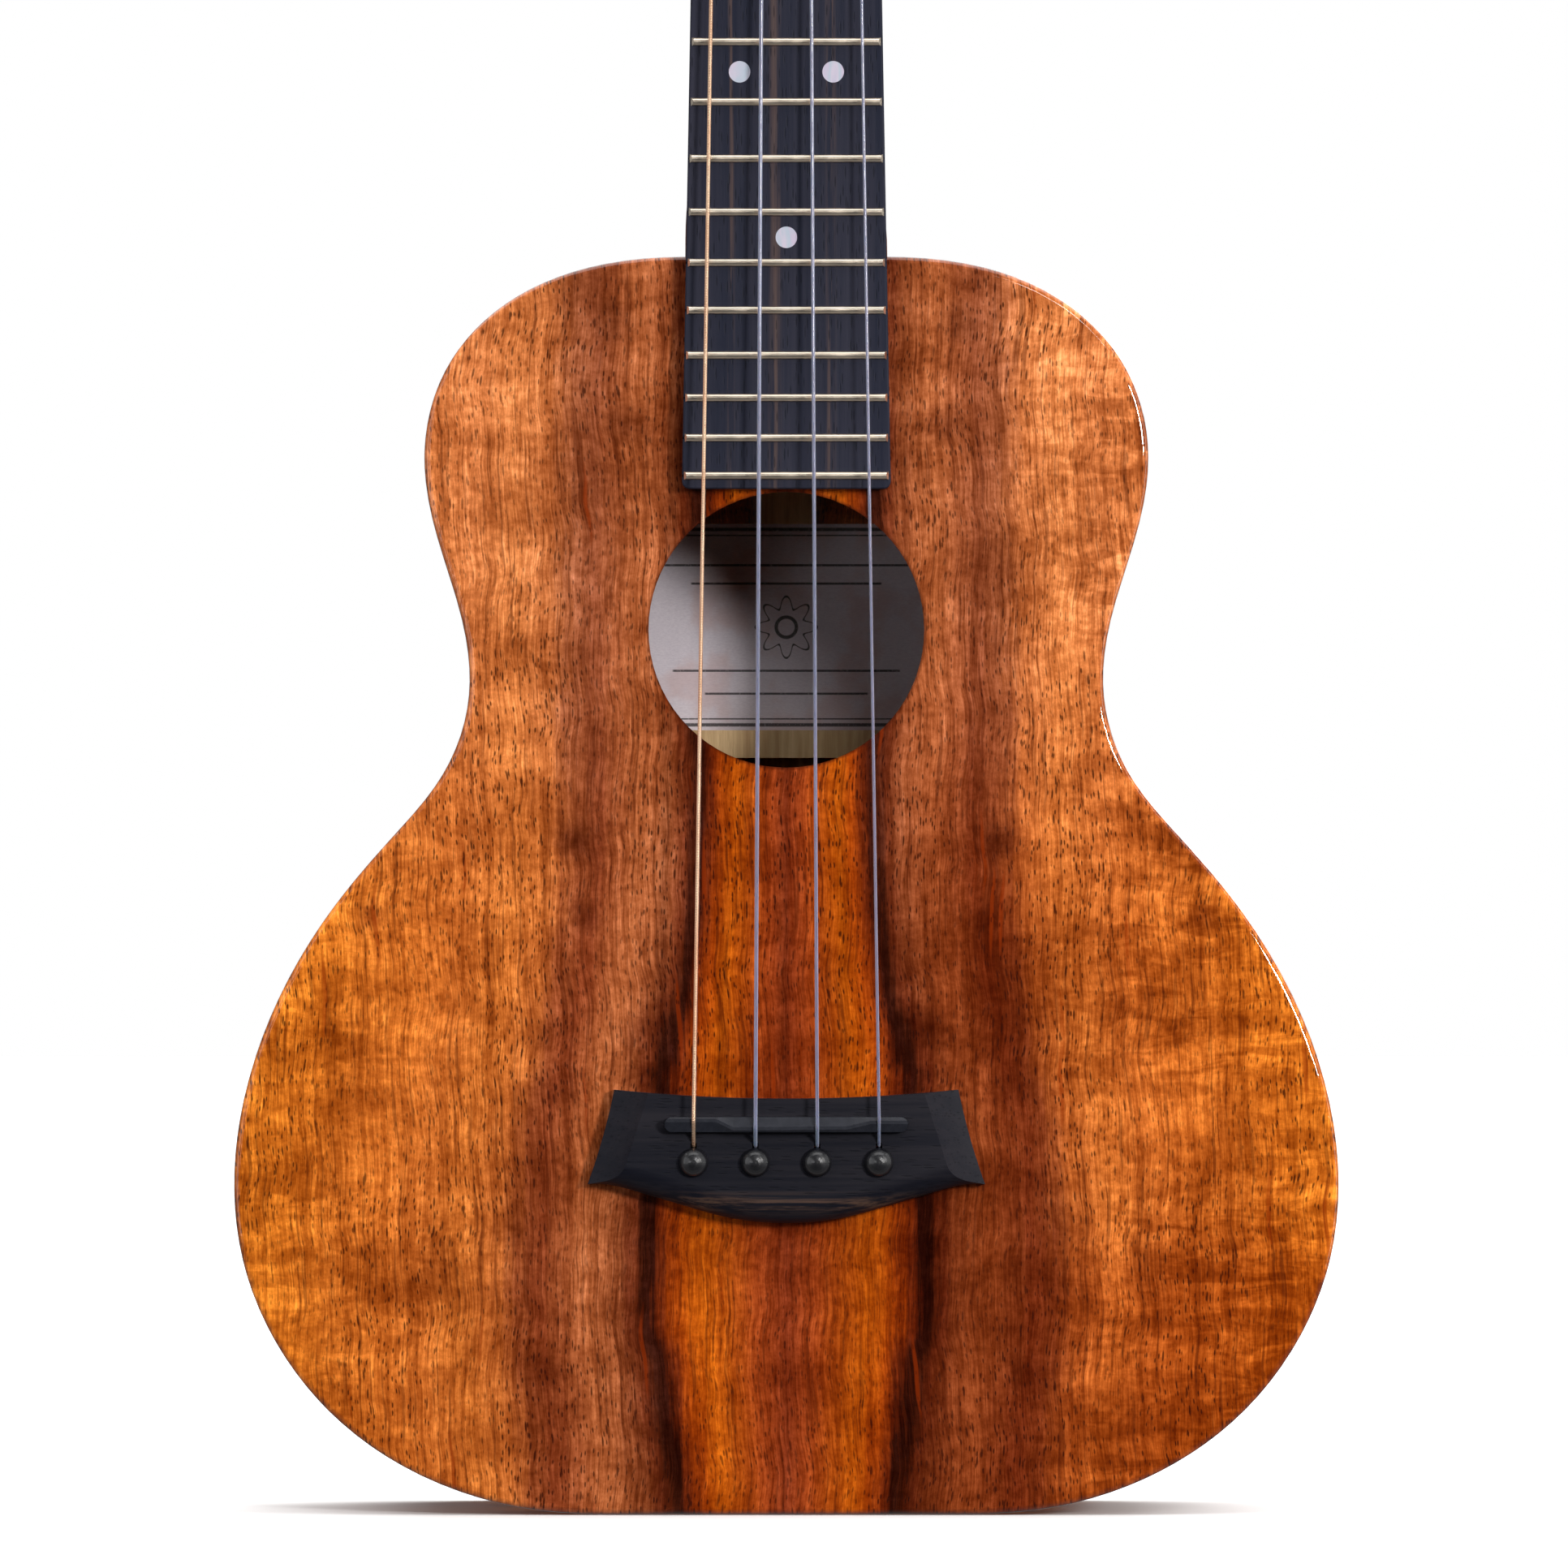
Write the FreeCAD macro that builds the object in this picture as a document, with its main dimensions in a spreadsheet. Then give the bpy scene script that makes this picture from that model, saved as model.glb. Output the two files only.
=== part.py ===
import FreeCAD, Part
import math
import os
import re
import Sketcher
from FreeCAD import Placement, Rotation, Vector

# A 26-inch tenor ukulele, in millimetres. +Z runs up the neck, -Y is the front (the soundboard's
# side) and +X is the treble side. The origin is the centre of the flat face at the tail.

SIZES = {
    # soundbox
    "body_length": 269.2, "tail_depth": 76.0, "top_thickness": 2.0, "back_thickness": 2.0,
    "side_thickness": 1.8, "dome_radius": 4572.0, "dome_apex_height": -35.5, "edge_round": 1.2,
    "soundhole_radius": 29.5, "soundhole_height": 189.3,
    "lining_width": 4.0, "lining_depth": 5.5,
    "neck_block_length": 22.0, "neck_block_width": 60.0,
    "tail_block_length": 14.0, "tail_block_width": 46.0,
    "tenon_width": 14.0, "tenon_length": 16.0, "tenon_depth": 58.0,
    # bracing
    "brace_width": 6.0, "brace_depth": 8.0, "upper_brace_height": 229.0, "lower_brace_height": 151.0,
    "fan_width": 5.0, "fan_depth": 6.0, "fan_top": 146.0, "fan_length": 118.0, "fan_spread": 26.0,
    "fan_angle": 6.0,
    "back_brace_width": 6.0, "back_brace_depth": 10.0, "strip_width": 13.0, "strip_depth": 2.0,
    "plate_length": 84.0, "plate_bottom": 61.0, "plate_height": 30.0, "plate_thickness": 2.0,
    "label_width": 78.0, "label_height": 45.0, "label_bottom": 167.5, "label_thickness": 0.25,
    # neck and fretboard
    "scale_length": 431.8, "nut_height": 518.0, "board_end_height": 219.4, "board_thickness": 5.0,
    "board_end_width": 44.7, "board_nut_width": 34.0, "board_corner": 1.6, "board_edge": 0.45,
    "fret_width": 1.7, "fret_crown": 1.0, "fret_tang_width": 0.55, "fret_tang_depth": 1.8,
    "fret_inset": 0.4, "fret_bevel": 0.8, "dot_radius": 2.3, "dot_depth": 1.5, "dot_spacing": 20.0,
    "nut_thickness": 5.5, "nut_rise": 7.0, "nut_spacing": 8.7,
    "neck_depth_nut": 14.0, "neck_depth_body": 17.6, "cap_thickness": 2.5,
    # headstock
    "head_tilt": 13.0, "head_length": 150.0, "head_thickness": 13.0, "headplate_thickness": 2.0,
    "lower_post_rise": 40.0, "lower_post_offset": 18.5, "upper_post_rise": 96.0,
    "upper_post_offset": 20.0, "post_hole_radius": 4.25, "head_back_round": 2.0,
    # bridge
    "bridge_top": 90.9, "bridge_wing": 70.7, "bridge_belly": 62.4, "bridge_thickness": 8.0,
    "bridge_top_half": 36.8, "bridge_wing_half": 42.5, "bridge_top_hollow": 1.9, "belly_roll": 5.0,
    "wing_lean": 17.5, "wing_start": 32.7, "wing_start_height": 80.0, "wing_run": 8.2,
    "wing_tip_thickness": 3.0, "wing_scoop_radius": 26.0,
    "saddle_height": 83.6, "saddle_length": 52.0, "saddle_thickness": 3.2, "saddle_seat": 4.0,
    "saddle_rise": 3.1, "saddle_gap": 0.06,
    "pin_height": 75.5, "string_spacing": 13.2, "pin_hole_radius": 2.5, "pin_head_radius": 3.1,
    "pin_top_radius": 2.45, "pin_tip_radius": 1.95, "pin_length": 15.5, "pin_head_rise": 2.9,
    "slot_height": 78.95, "slot_width": 1.3,
    # tuners
    "post_radius": 3.0, "post_rise": 16.0, "eye_radius": 0.8, "post_seat_radius": 2.0,
    "pivot_radius": 1.5, "string_slack": 0.02,
    "running_gap": 0.06, "bushing_radius": 4.2, "bushing_washer": 5.6, "bushing_flats": 9.5,
    "housing_width": 13.4, "housing_length": 17.6, "housing_depth": 10.4, "housing_wall": 1.1,
    "gear_module": 0.6, "gear_teeth": 14.0, "gear_width": 2.4, "gear_depth": 18.2,
    "worm_radius": 2.1, "shaft_radius": 1.75,
    "shaft_engagement": 11.0,
    "button_inset": 13.2, "button_length": 15.5, "button_breadth": 12.0, "button_thickness": 7.6,
    "screw_radius": 1.1, "screw_head_radius": 2.1, "screw_length": 8.0,
}

STRINGS = (1, 2, 3, 4)                                 # 1 is the highest string, on the treble side
STRING_DIAMETER = {1: 0.64, 2: 0.76, 3: 0.84, 4: 0.82}

doc = FreeCAD.newDocument("Ukulele")
sheet = doc.addObject("Spreadsheet::Sheet", "Sizes")
for row, (alias, number) in enumerate(SIZES.items(), 1):
    sheet.set(f"A{row}", alias)
    sheet.set(f"B{row}", str(number))
    sheet.setAlias(f"B{row}", alias)
doc.recompute()

pieces = []                                            # every sub-part, in the order it is made


# ---------------------------------------------------------------- document helpers

def size(alias):
    return float(sheet.get(alias))


def expression(text):
    """An expression on the sheet, from one written with bare aliases."""
    return re.sub(r"[a-z]\w*", r"Sizes.\g<0>", str(text))


def bind(obj, **texts):
    for prop, text in texts.items():
        obj.setExpression(prop, expression(text))
    return obj


def move(obj, x=0, y=0, z=0):
    for axis, text in zip("xyz", (x, y, z)):
        obj.setExpression("Placement.Base." + axis, expression(text))
    return obj


def add_box(name, corner, extent):
    box = doc.addObject("Part::Box", name)
    bind(box, Length=extent[0], Width=extent[1], Height=extent[2])
    return move(box, *corner)


def add_cylinder(name, radius, length, base, rotation=Rotation()):
    """A cylinder that rises from base along the rotated Z axis."""
    rod = doc.addObject("Part::Cylinder", name)
    bind(rod, Radius=radius, Height=length)
    rod.Placement = Placement(Vector(), rotation)
    return move(rod, *base)


def add_shape(name, shape):
    feature = doc.addObject("Part::Feature", name)
    feature.Shape = shape
    return feature


def add_extrusion(name, base, length, direction=(0, 1, 0)):
    solid = doc.addObject("Part::Extrusion", name)
    solid.Base = base
    solid.DirMode = "Custom"
    solid.Dir = Vector(*direction)
    solid.Solid = True
    return bind(solid, LengthFwd=length)


def cut(name, base, *tools):
    result = doc.addObject("Part::Cut", name)
    result.Base = base
    result.Tool = tools[0] if len(tools) == 1 else fuse(name + "_tools", *tools)
    return result


def fuse(name, *shapes):
    result = doc.addObject("Part::MultiFuse", name)
    result.Shapes = list(shapes)
    return result


def common(name, *shapes):
    result = doc.addObject("Part::MultiCommon", name)
    result.Shapes = list(shapes)
    return result


def group(name, *shapes):
    result = doc.addObject("Part::Compound", name)
    result.Links = list(shapes)
    return result


def keep(obj, label):
    """Mark an object as a finished sub-part of the ukulele."""
    obj.Label = label
    pieces.append(obj)
    return obj


def add_sketch(body, role, name):
    sketch = body.newObject("Sketcher::SketchObject", name)
    plane = next(item for item in body.Origin.OriginFeatures if item.Role == role)
    sketch.AttachmentSupport = (plane, [""])
    sketch.MapMode = "FlatFace"
    return sketch


def draw_polygon(sketch, corners):
    """A closed outline whose corners are pairs of expressions, measured from the sketch origin."""
    numbers = [[evaluate(text) for text in corner] for corner in corners]
    count = len(corners)
    for index, start in enumerate(numbers):
        end = numbers[(index + 1) % count]
        sketch.addGeometry(Part.LineSegment(Vector(*start, 0), Vector(*end, 0)), False)
    for index in range(count):
        sketch.addConstraint(Sketcher.Constraint("Coincident", index, 2, (index + 1) % count, 1))
    for index, corner in enumerate(corners):
        for axis, text, number in zip("XY", corner, numbers[index]):
            name = f"corner{index}{axis}"
            constraint = Sketcher.Constraint("Distance" + axis, -1, 1, index, 1, number)
            sketch.renameConstraint(sketch.addConstraint(constraint), name)
            if re.search("[a-z]", str(text)):
                sketch.setExpression("Constraints." + name, expression(text))


def draw_circle(sketch, radius, centre=("0", "0")):
    numbers = [evaluate(text) for text in centre]
    index = sketch.addGeometry(Part.Circle(Vector(*numbers, 0), Vector(0, 0, 1), size(radius)), False)
    tag = f"circle{index}"
    constraint = Sketcher.Constraint("Radius", index, size(radius))
    sketch.renameConstraint(sketch.addConstraint(constraint), tag + "radius")
    sketch.setExpression(f"Constraints.{tag}radius", expression(radius))
    for axis, text, number in zip("XY", centre, numbers):
        constraint = Sketcher.Constraint("Distance" + axis, -1, 1, index, 3, number)
        sketch.renameConstraint(sketch.addConstraint(constraint), tag + axis)
        if re.search("[a-z]", str(text)):
            sketch.setExpression(f"Constraints.{tag}{axis}", expression(text))


def evaluate(text):
    """The number that an expression of aliases, numbers, + - * / and brackets stands for."""
    return float(sheet.evalExpression(expression(text)))


def add_revolution(name, corners):
    """A PartDesign body turned about its own Z axis from a half profile of (radius, height)."""
    body = doc.addObject("PartDesign::Body", name)
    sketch = add_sketch(body, "XZ_Plane", name + "_profile")
    draw_polygon(sketch, corners)
    turned = body.newObject("PartDesign::Revolution", name + "_turned")
    turned.Profile = sketch
    turned.ReferenceAxis = (sketch, ["V_Axis"])
    turned.Angle = 360
    return body


def add_pocket(body, name, role, radius, centre):
    """A round hole through a body, both ways from one of its origin planes."""
    sketch = add_sketch(body, role, name + "_circle")
    draw_circle(sketch, radius, centre)
    pocket = body.newObject("PartDesign::Pocket", name)
    pocket.Profile = sketch
    pocket.Type = "ThroughAll"
    pocket.SideType = "Symmetric"
    return pocket


FRONT = -size("tail_depth") / 2                         # the soundboard's front plane, as a Y
BACKWARD = Rotation(Vector(1, 0, 0), -90)              # turns a part's Z axis to +Y
FORWARD = Rotation(Vector(1, 0, 0), 90)                # turns a part's Z axis to -Y
SIDES = {"bass": -1, "treble": 1}


# ---------------------------------------------------------------- soundbox

def smooth_curve(points, first_heading, last_heading):
    """A curve through the points that leaves the first and reaches the last in given directions."""
    stations = [0.0]
    for before, after in zip(points, points[1:]):
        stations.append(stations[-1] + (after - before).Length)
    free = len(points) - 2
    curve = Part.BSplineCurve()
    curve.interpolate(Points=points, Parameters=stations, Scale=False,
                      Tangents=[first_heading, *[Vector(0, 0, 1)] * free, last_heading],
                      TangentFlags=[True, *[False] * free, True])
    return curve


INSET_STEPS = 60


def inward_curve(curve, distance, sign):
    """A side's curve drawn inwards by a distance, point by point along its normals."""
    first, last = curve.FirstParameter, curve.LastParameter
    points = []
    for step in range(INSET_STEPS + 1):
        station = first + (last - first) * step / INSET_STEPS
        heading = curve.tangent(station)[0]
        points.append(curve.value(station) + Vector(-heading.z, 0, heading.x) * (sign * distance))
    return smooth_curve(points, Vector(sign, 0, 0), Vector(-sign, 0, 0))


def body_outline(inset=0.0):
    """The figure-of-eight face on the front plane: two smooth sides between two short flats."""
    top = size("body_length")
    half = [(40, 0), (60, 2), (78.8, 8.5), (95.4, 19.6), (108.2, 34.9), (116.1, 53.2), (118.2, 73),
            (115.2, 92.7), (108.2, 111.4), (97.9, 128.6), (85.2, 144), (73.6, 158.3), (68, 175),
            (69.6, 192), (74.4, 207.9), (77.5, 226), (72.9, 245), (62, 257.7), (44.5, 266.3), (21, top)]
    edges = []
    for sign in (1, -1):
        points = [Vector(sign * x, FRONT, z) for x, z in half]
        curve = smooth_curve(points, Vector(sign, 0, 0), Vector(-sign, 0, 0))
        if inset:
            curve = inward_curve(curve, inset, sign)
        edges.append(curve.toShape())
    for (x, _), z in zip((half[0], half[-1]), (inset, top - inset)):
        edges.append(Part.makeLine(Vector(-x, FRONT, z), Vector(x, FRONT, z)))
    return Part.Face(Part.Wire(Part.__sortEdges__(edges)))


def add_dome(name, depth):
    """The sphere that the back follows, drawn in from the back's outer face by a depth."""
    ball = doc.addObject("Part::Sphere", name)
    bind(ball, Radius=f"dome_radius - ({depth})")
    rise = "dome_apex_height * dome_apex_height / 2 / dome_radius"
    return move(ball, 0, f"tail_depth / 2 + {rise} - dome_radius", "dome_apex_height")


def add_slice(name, low, high):
    """A wide slab across the whole body between two heights."""
    return add_box(name, (-150, -60, low), (300, 120, f"({high}) - ({low})"))


outline = add_shape("outline", body_outline())
inner_outline = add_shape("inner_outline", body_outline(size("side_thickness")))
lining_outline = add_shape("lining_outline",
                           body_outline(size("side_thickness") + size("lining_width")))
full_depth = "tail_depth + 20"
outer_prism = add_extrusion("outer_prism", outline, full_depth)
inner_prism = add_extrusion("inner_prism", inner_outline, full_depth)
lining_prism = add_extrusion("lining_prism", lining_outline, full_depth)
outer_dome = add_dome("outer_dome", "0")
inner_dome = add_dome("inner_dome", "back_thickness")
half_space = {
    "bass": add_box("bass_half_space", (-150, -60, -20), (150, 130, 320)),
    "treble": add_box("treble_half_space", (0, -60, -20), (150, 130, 320)),
}
behind_top = add_box("behind_top", (-150, "top_thickness - tail_depth / 2", -20), (300, 120, 320))
cavity = common("cavity", inner_prism, inner_dome, behind_top)
lined_cavity = common("lined_cavity", lining_prism, inner_dome, behind_top)


def add_soundboard():
    """A flat bookmatched plate with an eased edge and a plain round hole."""
    blank = add_extrusion("top_blank", outline, "top_thickness")
    doc.recompute()
    rim = [index for index, edge in enumerate(blank.Shape.Edges, 1)
           if abs(edge.BoundBox.YMax - FRONT) < 0.01]
    eased = doc.addObject("Part::Fillet", "top_eased")
    eased.Base = blank
    eased.Edges = [(index, size("edge_round"), size("edge_round")) for index in rim]
    hole = add_cylinder("soundhole_cutter", "soundhole_radius", 20,
                        (0, "-tail_depth / 2 - 10", "soundhole_height"), BACKWARD)
    bores = [add_pin_bore(f"soundboard_bore_{number}", string_offset(number)) for number in STRINGS]
    plate = cut("soundboard_plate", eased, hole, *bores)
    for side, space in half_space.items():
        keep(common(f"soundboard_{side}", plate, space), f"soundboard_{side}_half")


def add_back():
    """A domed bookmatched plate, deepest at the tail."""
    domed = common("back_blank", outer_prism, outer_dome)
    plate = cut("back_plate", domed, inner_dome)
    for side, space in half_space.items():
        keep(common(f"back_{side}", plate, space), f"back_{side}_half")


def add_sides():
    """Two bent sides, butted at the tail and cut away for the neck's tenon."""
    shell = cut("side_shell", common("side_blank", outer_prism, inner_dome, behind_top), inner_prism)
    slot = add_box("side_slot", ("-tenon_width / 2", "-tail_depth / 2", "body_length - 10"),
                   ("tenon_width", "tenon_depth + top_thickness", 20))
    ring = cut("side_ring", shell, slot)
    for side, space in half_space.items():
        keep(common(f"side_{side}_bent", ring, space), f"side_{side}")


def add_blocks():
    """The neck block, with its mortise, and the tail block, both shaped to the inside of the box."""
    blank = add_box("neck_block_blank", ("-neck_block_width / 2", -60, "body_length - neck_block_length"),
                    ("neck_block_width", 120, "neck_block_length + 10"))
    mortise = add_box("mortise", ("-tenon_width / 2", "-tail_depth / 2", "body_length - tenon_length"),
                      ("tenon_width", "tenon_depth + top_thickness", "tenon_length + 10"))
    keep(cut("neck_block_cut", common("neck_block_full", blank, cavity), mortise), "neck_block")
    tail = add_box("tail_block_blank", ("-tail_block_width / 2", -60, -10),
                   ("tail_block_width", 120, "tail_block_length + 10"))
    keep(common("tail_block_shaped", tail, cavity), "tail_block")
    return blank, tail


def add_linings(neck_blank, tail_blank):
    """Glue strips along the inside of both sides, at the top and at the back, between the blocks."""
    ring = cut("lining_ring", cavity, lined_cavity, neck_blank, tail_blank)
    front = add_box("front_lining_zone", (-150, "top_thickness - tail_depth / 2", -20),
                    (300, "lining_depth", 320))
    keep(common("soundboard_linings_cut", ring, front), "soundboard_linings")
    below = add_dome("back_lining_floor", "back_thickness + lining_depth")
    keep(cut("back_linings_cut", ring, below), "back_linings")


def add_brace(name, low, length, depth_from_top, width):
    """A bar across the soundboard, cut to fit between the linings."""
    blank = add_box(name + "_blank", (f"-({length}) / 2", "top_thickness - tail_depth / 2", low),
                    (length, depth_from_top, width))
    return common(name, blank, lined_cavity)


def add_top_bracing():
    """Two bars beside the soundhole, a plate under the bridge, and three fanned struts over it."""
    for name in ("upper", "lower"):
        brace = add_brace(f"{name}_bar", f"{name}_brace_height - brace_width / 2", 240, "brace_depth",
                          "brace_width")
        keep(brace, f"{name}_soundhole_brace")
    top = "top_thickness - tail_depth / 2"
    blank = add_box("plate_blank", ("-plate_length / 2", top, "plate_bottom"),
                    ("plate_length", "plate_thickness", "plate_height"))
    holes = [add_pin_bore(f"plate_bore_{number}", string_offset(number)) for number in STRINGS]
    keep(cut("plate_cut", blank, *holes), "bridge_plate")
    struts = []
    for name, sign in (("bass_strut", -1), ("middle_strut", 0), ("treble_strut", 1)):
        strut = add_box(name, (0, 0, 0), ("fan_width", "fan_depth", "fan_length"))
        strut.Placement.Rotation = Rotation(Vector(0, 1, 0), -sign * size("fan_angle"))
        lean = math.sin(math.radians(size("fan_angle")))
        foot = f"{sign} * (fan_spread + fan_length * {lean:.6f}) - fan_width / 2"
        move(strut, foot, top, "fan_top - fan_length")
        struts.append(cut(name + "_notched", strut, blank))
    keep(group("fan_struts", *struts), "fan_braces")


def string_offset(number):
    """A string's place across the bridge, as an expression."""
    return f"string_spacing * {2.5 - number}"


def add_pin_bore(name, offset):
    """A pin's hole and the string slot above it, all the way through the bridge and the plate."""
    hole = add_cylinder(name + "_round", "pin_hole_radius", 40, (offset, -60, "pin_height"), BACKWARD)
    slot = add_box(name + "_slot", (f"{offset} - slot_width / 2", -60, "pin_height"),
                   ("slot_width", 40, "slot_height + slot_width / 2 - pin_height"))
    return fuse(name, hole, slot)


BACK_BRACE_HEIGHTS = (60, 165, 226)


def add_back_bracing():
    """Three back bars, and the cross-grain strip over the back's centre joint between them."""
    arch = cut("back_brace_arch", lined_cavity, add_dome("brace_top", "back_thickness + back_brace_depth"))
    slices = [add_slice(f"back_brace_zone_{index}", f"{height} - back_brace_width / 2",
                        f"{height} + back_brace_width / 2")
              for index, height in enumerate(BACK_BRACE_HEIGHTS, 1)]
    bars = [common(f"back_bar_{index}", arch, zone) for index, zone in enumerate(slices, 1)]
    keep(group("back_bars", *bars), "back_braces")
    sheet_shell = cut("strip_shell", cavity, add_dome("strip_top", "back_thickness + strip_depth"))
    low = "tail_block_length"
    high = "body_length - neck_block_length"
    blank = add_box("strip_blank", ("-strip_width / 2", -60, low), ("strip_width", 120, f"{high} - {low}"))
    gap = add_box("label_gap", ("-strip_width", -60, "label_bottom - 0.5"),
                  ("strip_width * 2", 120, "label_height + 1"))
    keep(cut("strip_cut", common("strip_full", blank, sheet_shell), gap, *slices), "back_centre_strip")
    paper = cut("paper_shell", cavity, add_dome("paper_top", "back_thickness + label_thickness"))
    place = add_box("label_place", ("-label_width / 2", -60, "label_bottom + 0.5"),
                    ("label_width", 120, "label_height"))
    keep(cut("label_cut", common("label_full", paper, place), *slices), "label")


# ---------------------------------------------------------------- neck, fretboard and headstock

def board_half_width(height):
    """Half the fretboard's width at a height, from a straight taper."""
    run = size("nut_height") - size("board_end_height")
    grow = (size("board_end_width") - size("board_nut_width")) / run
    return (size("board_nut_width") + grow * (size("nut_height") - height)) / 2


def fret_height(number):
    """How far up the neck a fret is: each one shortens the string by a twelfth root of two."""
    return size("nut_height") - size("scale_length") * (1 - 2 ** (-number / 12))


FRET_COUNT = 20
BOARD_TOP = FRONT - size("board_thickness")
MARKER_FRETS = (5, 7, 10, 15)
DOUBLE_MARKER_FRET = 12


def marker_places():
    """The centres of the position dots, as (X, Z)."""
    def middle(fret):
        return (fret_height(fret) + fret_height(fret - 1)) / 2
    places = [(0, middle(fret)) for fret in MARKER_FRETS]
    for sign in (-1, 1):
        places.append((sign * size("dot_spacing") / 2, middle(DOUBLE_MARKER_FRET)))
    return places


def fret_wire(height):
    """One fret: a low round crown on a tang, with bevelled ends."""
    half = size("fret_width") / 2
    crown = size("fret_crown")
    tang = size("fret_tang_width") / 2
    reach = board_half_width(height) - size("fret_inset")
    left, right = Vector(-reach, BOARD_TOP, height - half), Vector(-reach, BOARD_TOP, height + half)
    peak = Vector(-reach, BOARD_TOP - crown, height)
    foot = BOARD_TOP + size("fret_tang_depth")
    tang_corners = [Vector(-reach, y, height + z) for y, z in
                    ((BOARD_TOP, tang), (foot, tang), (foot, -tang), (BOARD_TOP, -tang))]
    path = Part.makePolygon([right, *tang_corners, left]).Edges
    section = Part.Face(Part.Wire([Part.Arc(left, peak, right).toShape(), *path]))
    bar = section.extrude(Vector(2 * reach, 0, 0))
    for sign in (-1, 1):
        outer = sign * (reach + size("fret_bevel"))
        wedge = Part.makePolygon([
            Vector(sign * reach, BOARD_TOP, height - 2), Vector(outer, BOARD_TOP, height - 2),
            Vector(outer, BOARD_TOP - 2 * crown, height - 2),
            Vector(sign * (reach - size("fret_bevel")), BOARD_TOP - 1.6 * crown, height - 2),
            Vector(sign * reach, BOARD_TOP, height - 2)])
        bar = bar.cut(Part.Face(wedge).extrude(Vector(0, 0, 4)))
    return bar


def add_fretboard():
    """A flat tapered board with eased edges, slotted for the frets and bored for the dots."""
    low, high = size("board_end_height"), size("nut_height")
    corners = [(-board_half_width(low), low), (board_half_width(low), low),
               (board_half_width(high), high), (-board_half_width(high), high)]
    wire = Part.makePolygon([Vector(x, FRONT, z) for x, z in corners + corners[:1]])
    blank = add_extrusion("board_blank", add_shape("board_outline", wire), "board_thickness", (0, -1, 0))
    doc.recompute()
    ends = [index for index, edge in enumerate(blank.Shape.Edges, 1)
            if edge.BoundBox.YLength > 1 and edge.BoundBox.ZMax < low + 1]
    rounded = doc.addObject("Part::Fillet", "board_rounded")
    rounded.Base = blank
    rounded.Edges = [(index, size("board_corner"), size("board_corner")) for index in ends]
    doc.recompute()
    rim = [index for index, edge in enumerate(rounded.Shape.Edges, 1)
           if edge.BoundBox.YMax < BOARD_TOP + 0.01 and edge.BoundBox.ZMin < high - 1]
    eased = doc.addObject("Part::Fillet", "board_eased")
    eased.Base = rounded
    eased.Edges = [(index, size("board_edge"), size("board_edge")) for index in rim]
    slots = [add_box(f"fret_slot_{number}",
                     (-30, "-tail_depth / 2 - board_thickness - 1",
                      f"{fret_height(number):.5f} - fret_tang_width / 2"),
                     (60, "fret_tang_depth + 1", "fret_tang_width"))
             for number in range(1, FRET_COUNT + 1)]
    bores = [add_dot(f"dot_bore_{index}", place) for index, place in enumerate(marker_places(), 1)]
    keep(cut("board_slotted", eased, *slots, *bores), "fretboard")
    keep(group("dots", *[add_dot(f"dot_{index}", place)
                         for index, place in enumerate(marker_places(), 1)]), "fret_markers")


def add_dot(name, place):
    x, z = place
    return add_cylinder(name, "dot_radius", "dot_depth",
                        (f"{x:.5f}", "-tail_depth / 2 - board_thickness", f"{z:.5f}"), BACKWARD)


def add_frets():
    bars = [fret_wire(fret_height(number)) for number in range(1, FRET_COUNT + 1)]
    keep(add_shape("fret_bars", Part.makeCompound(bars)), "frets")


def add_nut():
    """A bone nut, sloped towards the headstock, with a slot under each string."""
    body = doc.addObject("PartDesign::Body", "nut_blank")
    sketch = add_sketch(body, "YZ_Plane", "nut_profile")
    front = "-tail_depth / 2"
    top = f"{front} - nut_rise"
    draw_polygon(sketch, [(front, "nut_height"), (top, "nut_height"),
                          (f"{top} + 0.2", "nut_height + nut_thickness * 0.4"),
                          (f"{top} + 2.4", "nut_height + nut_thickness"),
                          (front, "nut_height + nut_thickness")])
    pad = body.newObject("PartDesign::Pad", "nut_pad")
    pad.Profile = sketch
    pad.SideType = "Symmetric"
    bind(pad, Length="board_nut_width")
    slots = [add_shape(f"nut_slot_{number}", string_tube(number, size("string_slack"), flush_nut=True))
             for number in STRINGS]
    keep(cut("nut_slotted", body, *slots), "nut")


HEAD_ORIGIN = Vector(0, FRONT, size("nut_height") + size("nut_thickness"))
HEAD_TURN = Rotation(Vector(1, 0, 0), -size("head_tilt"))
HEAD = Placement(HEAD_ORIGIN, HEAD_TURN)


def head_point(x, depth, rise):
    """A point given across the headstock, behind its face and up along it."""
    return HEAD.multVec(Vector(x, depth, rise))


SECTION_STEPS = 12


def neck_section(half_width, depth, place, waist=1.0, squareness=2.0):
    """A closed D-shaped wire: a straight edge with half a rounded shape behind it.

    A waist above 1 hollows its flanks like a bell's, and a squareness above 2 fills its corners.
    """
    points = []
    for step in range(SECTION_STEPS + 1):
        angle = math.pi * step / SECTION_STEPS
        side, back = math.cos(angle), abs(math.sin(angle))
        reach = abs(side) ** (2 * waist / squareness)
        points.append(Vector(math.copysign(half_width * reach, side), depth * back ** (2 / squareness), 0))
    curve = Part.BSplineCurve()
    curve.interpolate(Points=points, InitialTangent=Vector(0, depth, 0), FinalTangent=Vector(0, -depth, 0))
    wire = Part.Wire([curve.toShape(), Part.makeLine(points[-1], points[0])])
    wire.Placement = place
    return wire


def shaft_depth(height):
    """How deep the neck's shaft is at a height, from a straight taper."""
    run = size("nut_height") + size("nut_thickness") - size("body_length")
    grow = (size("neck_depth_body") - size("neck_depth_nut")) / run
    return size("neck_depth_body") - grow * (height - size("body_length"))


def shaft_section(height):
    place = Placement(Vector(0, FRONT, height), Rotation())
    return neck_section(board_half_width(height), shaft_depth(height), place)


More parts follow.
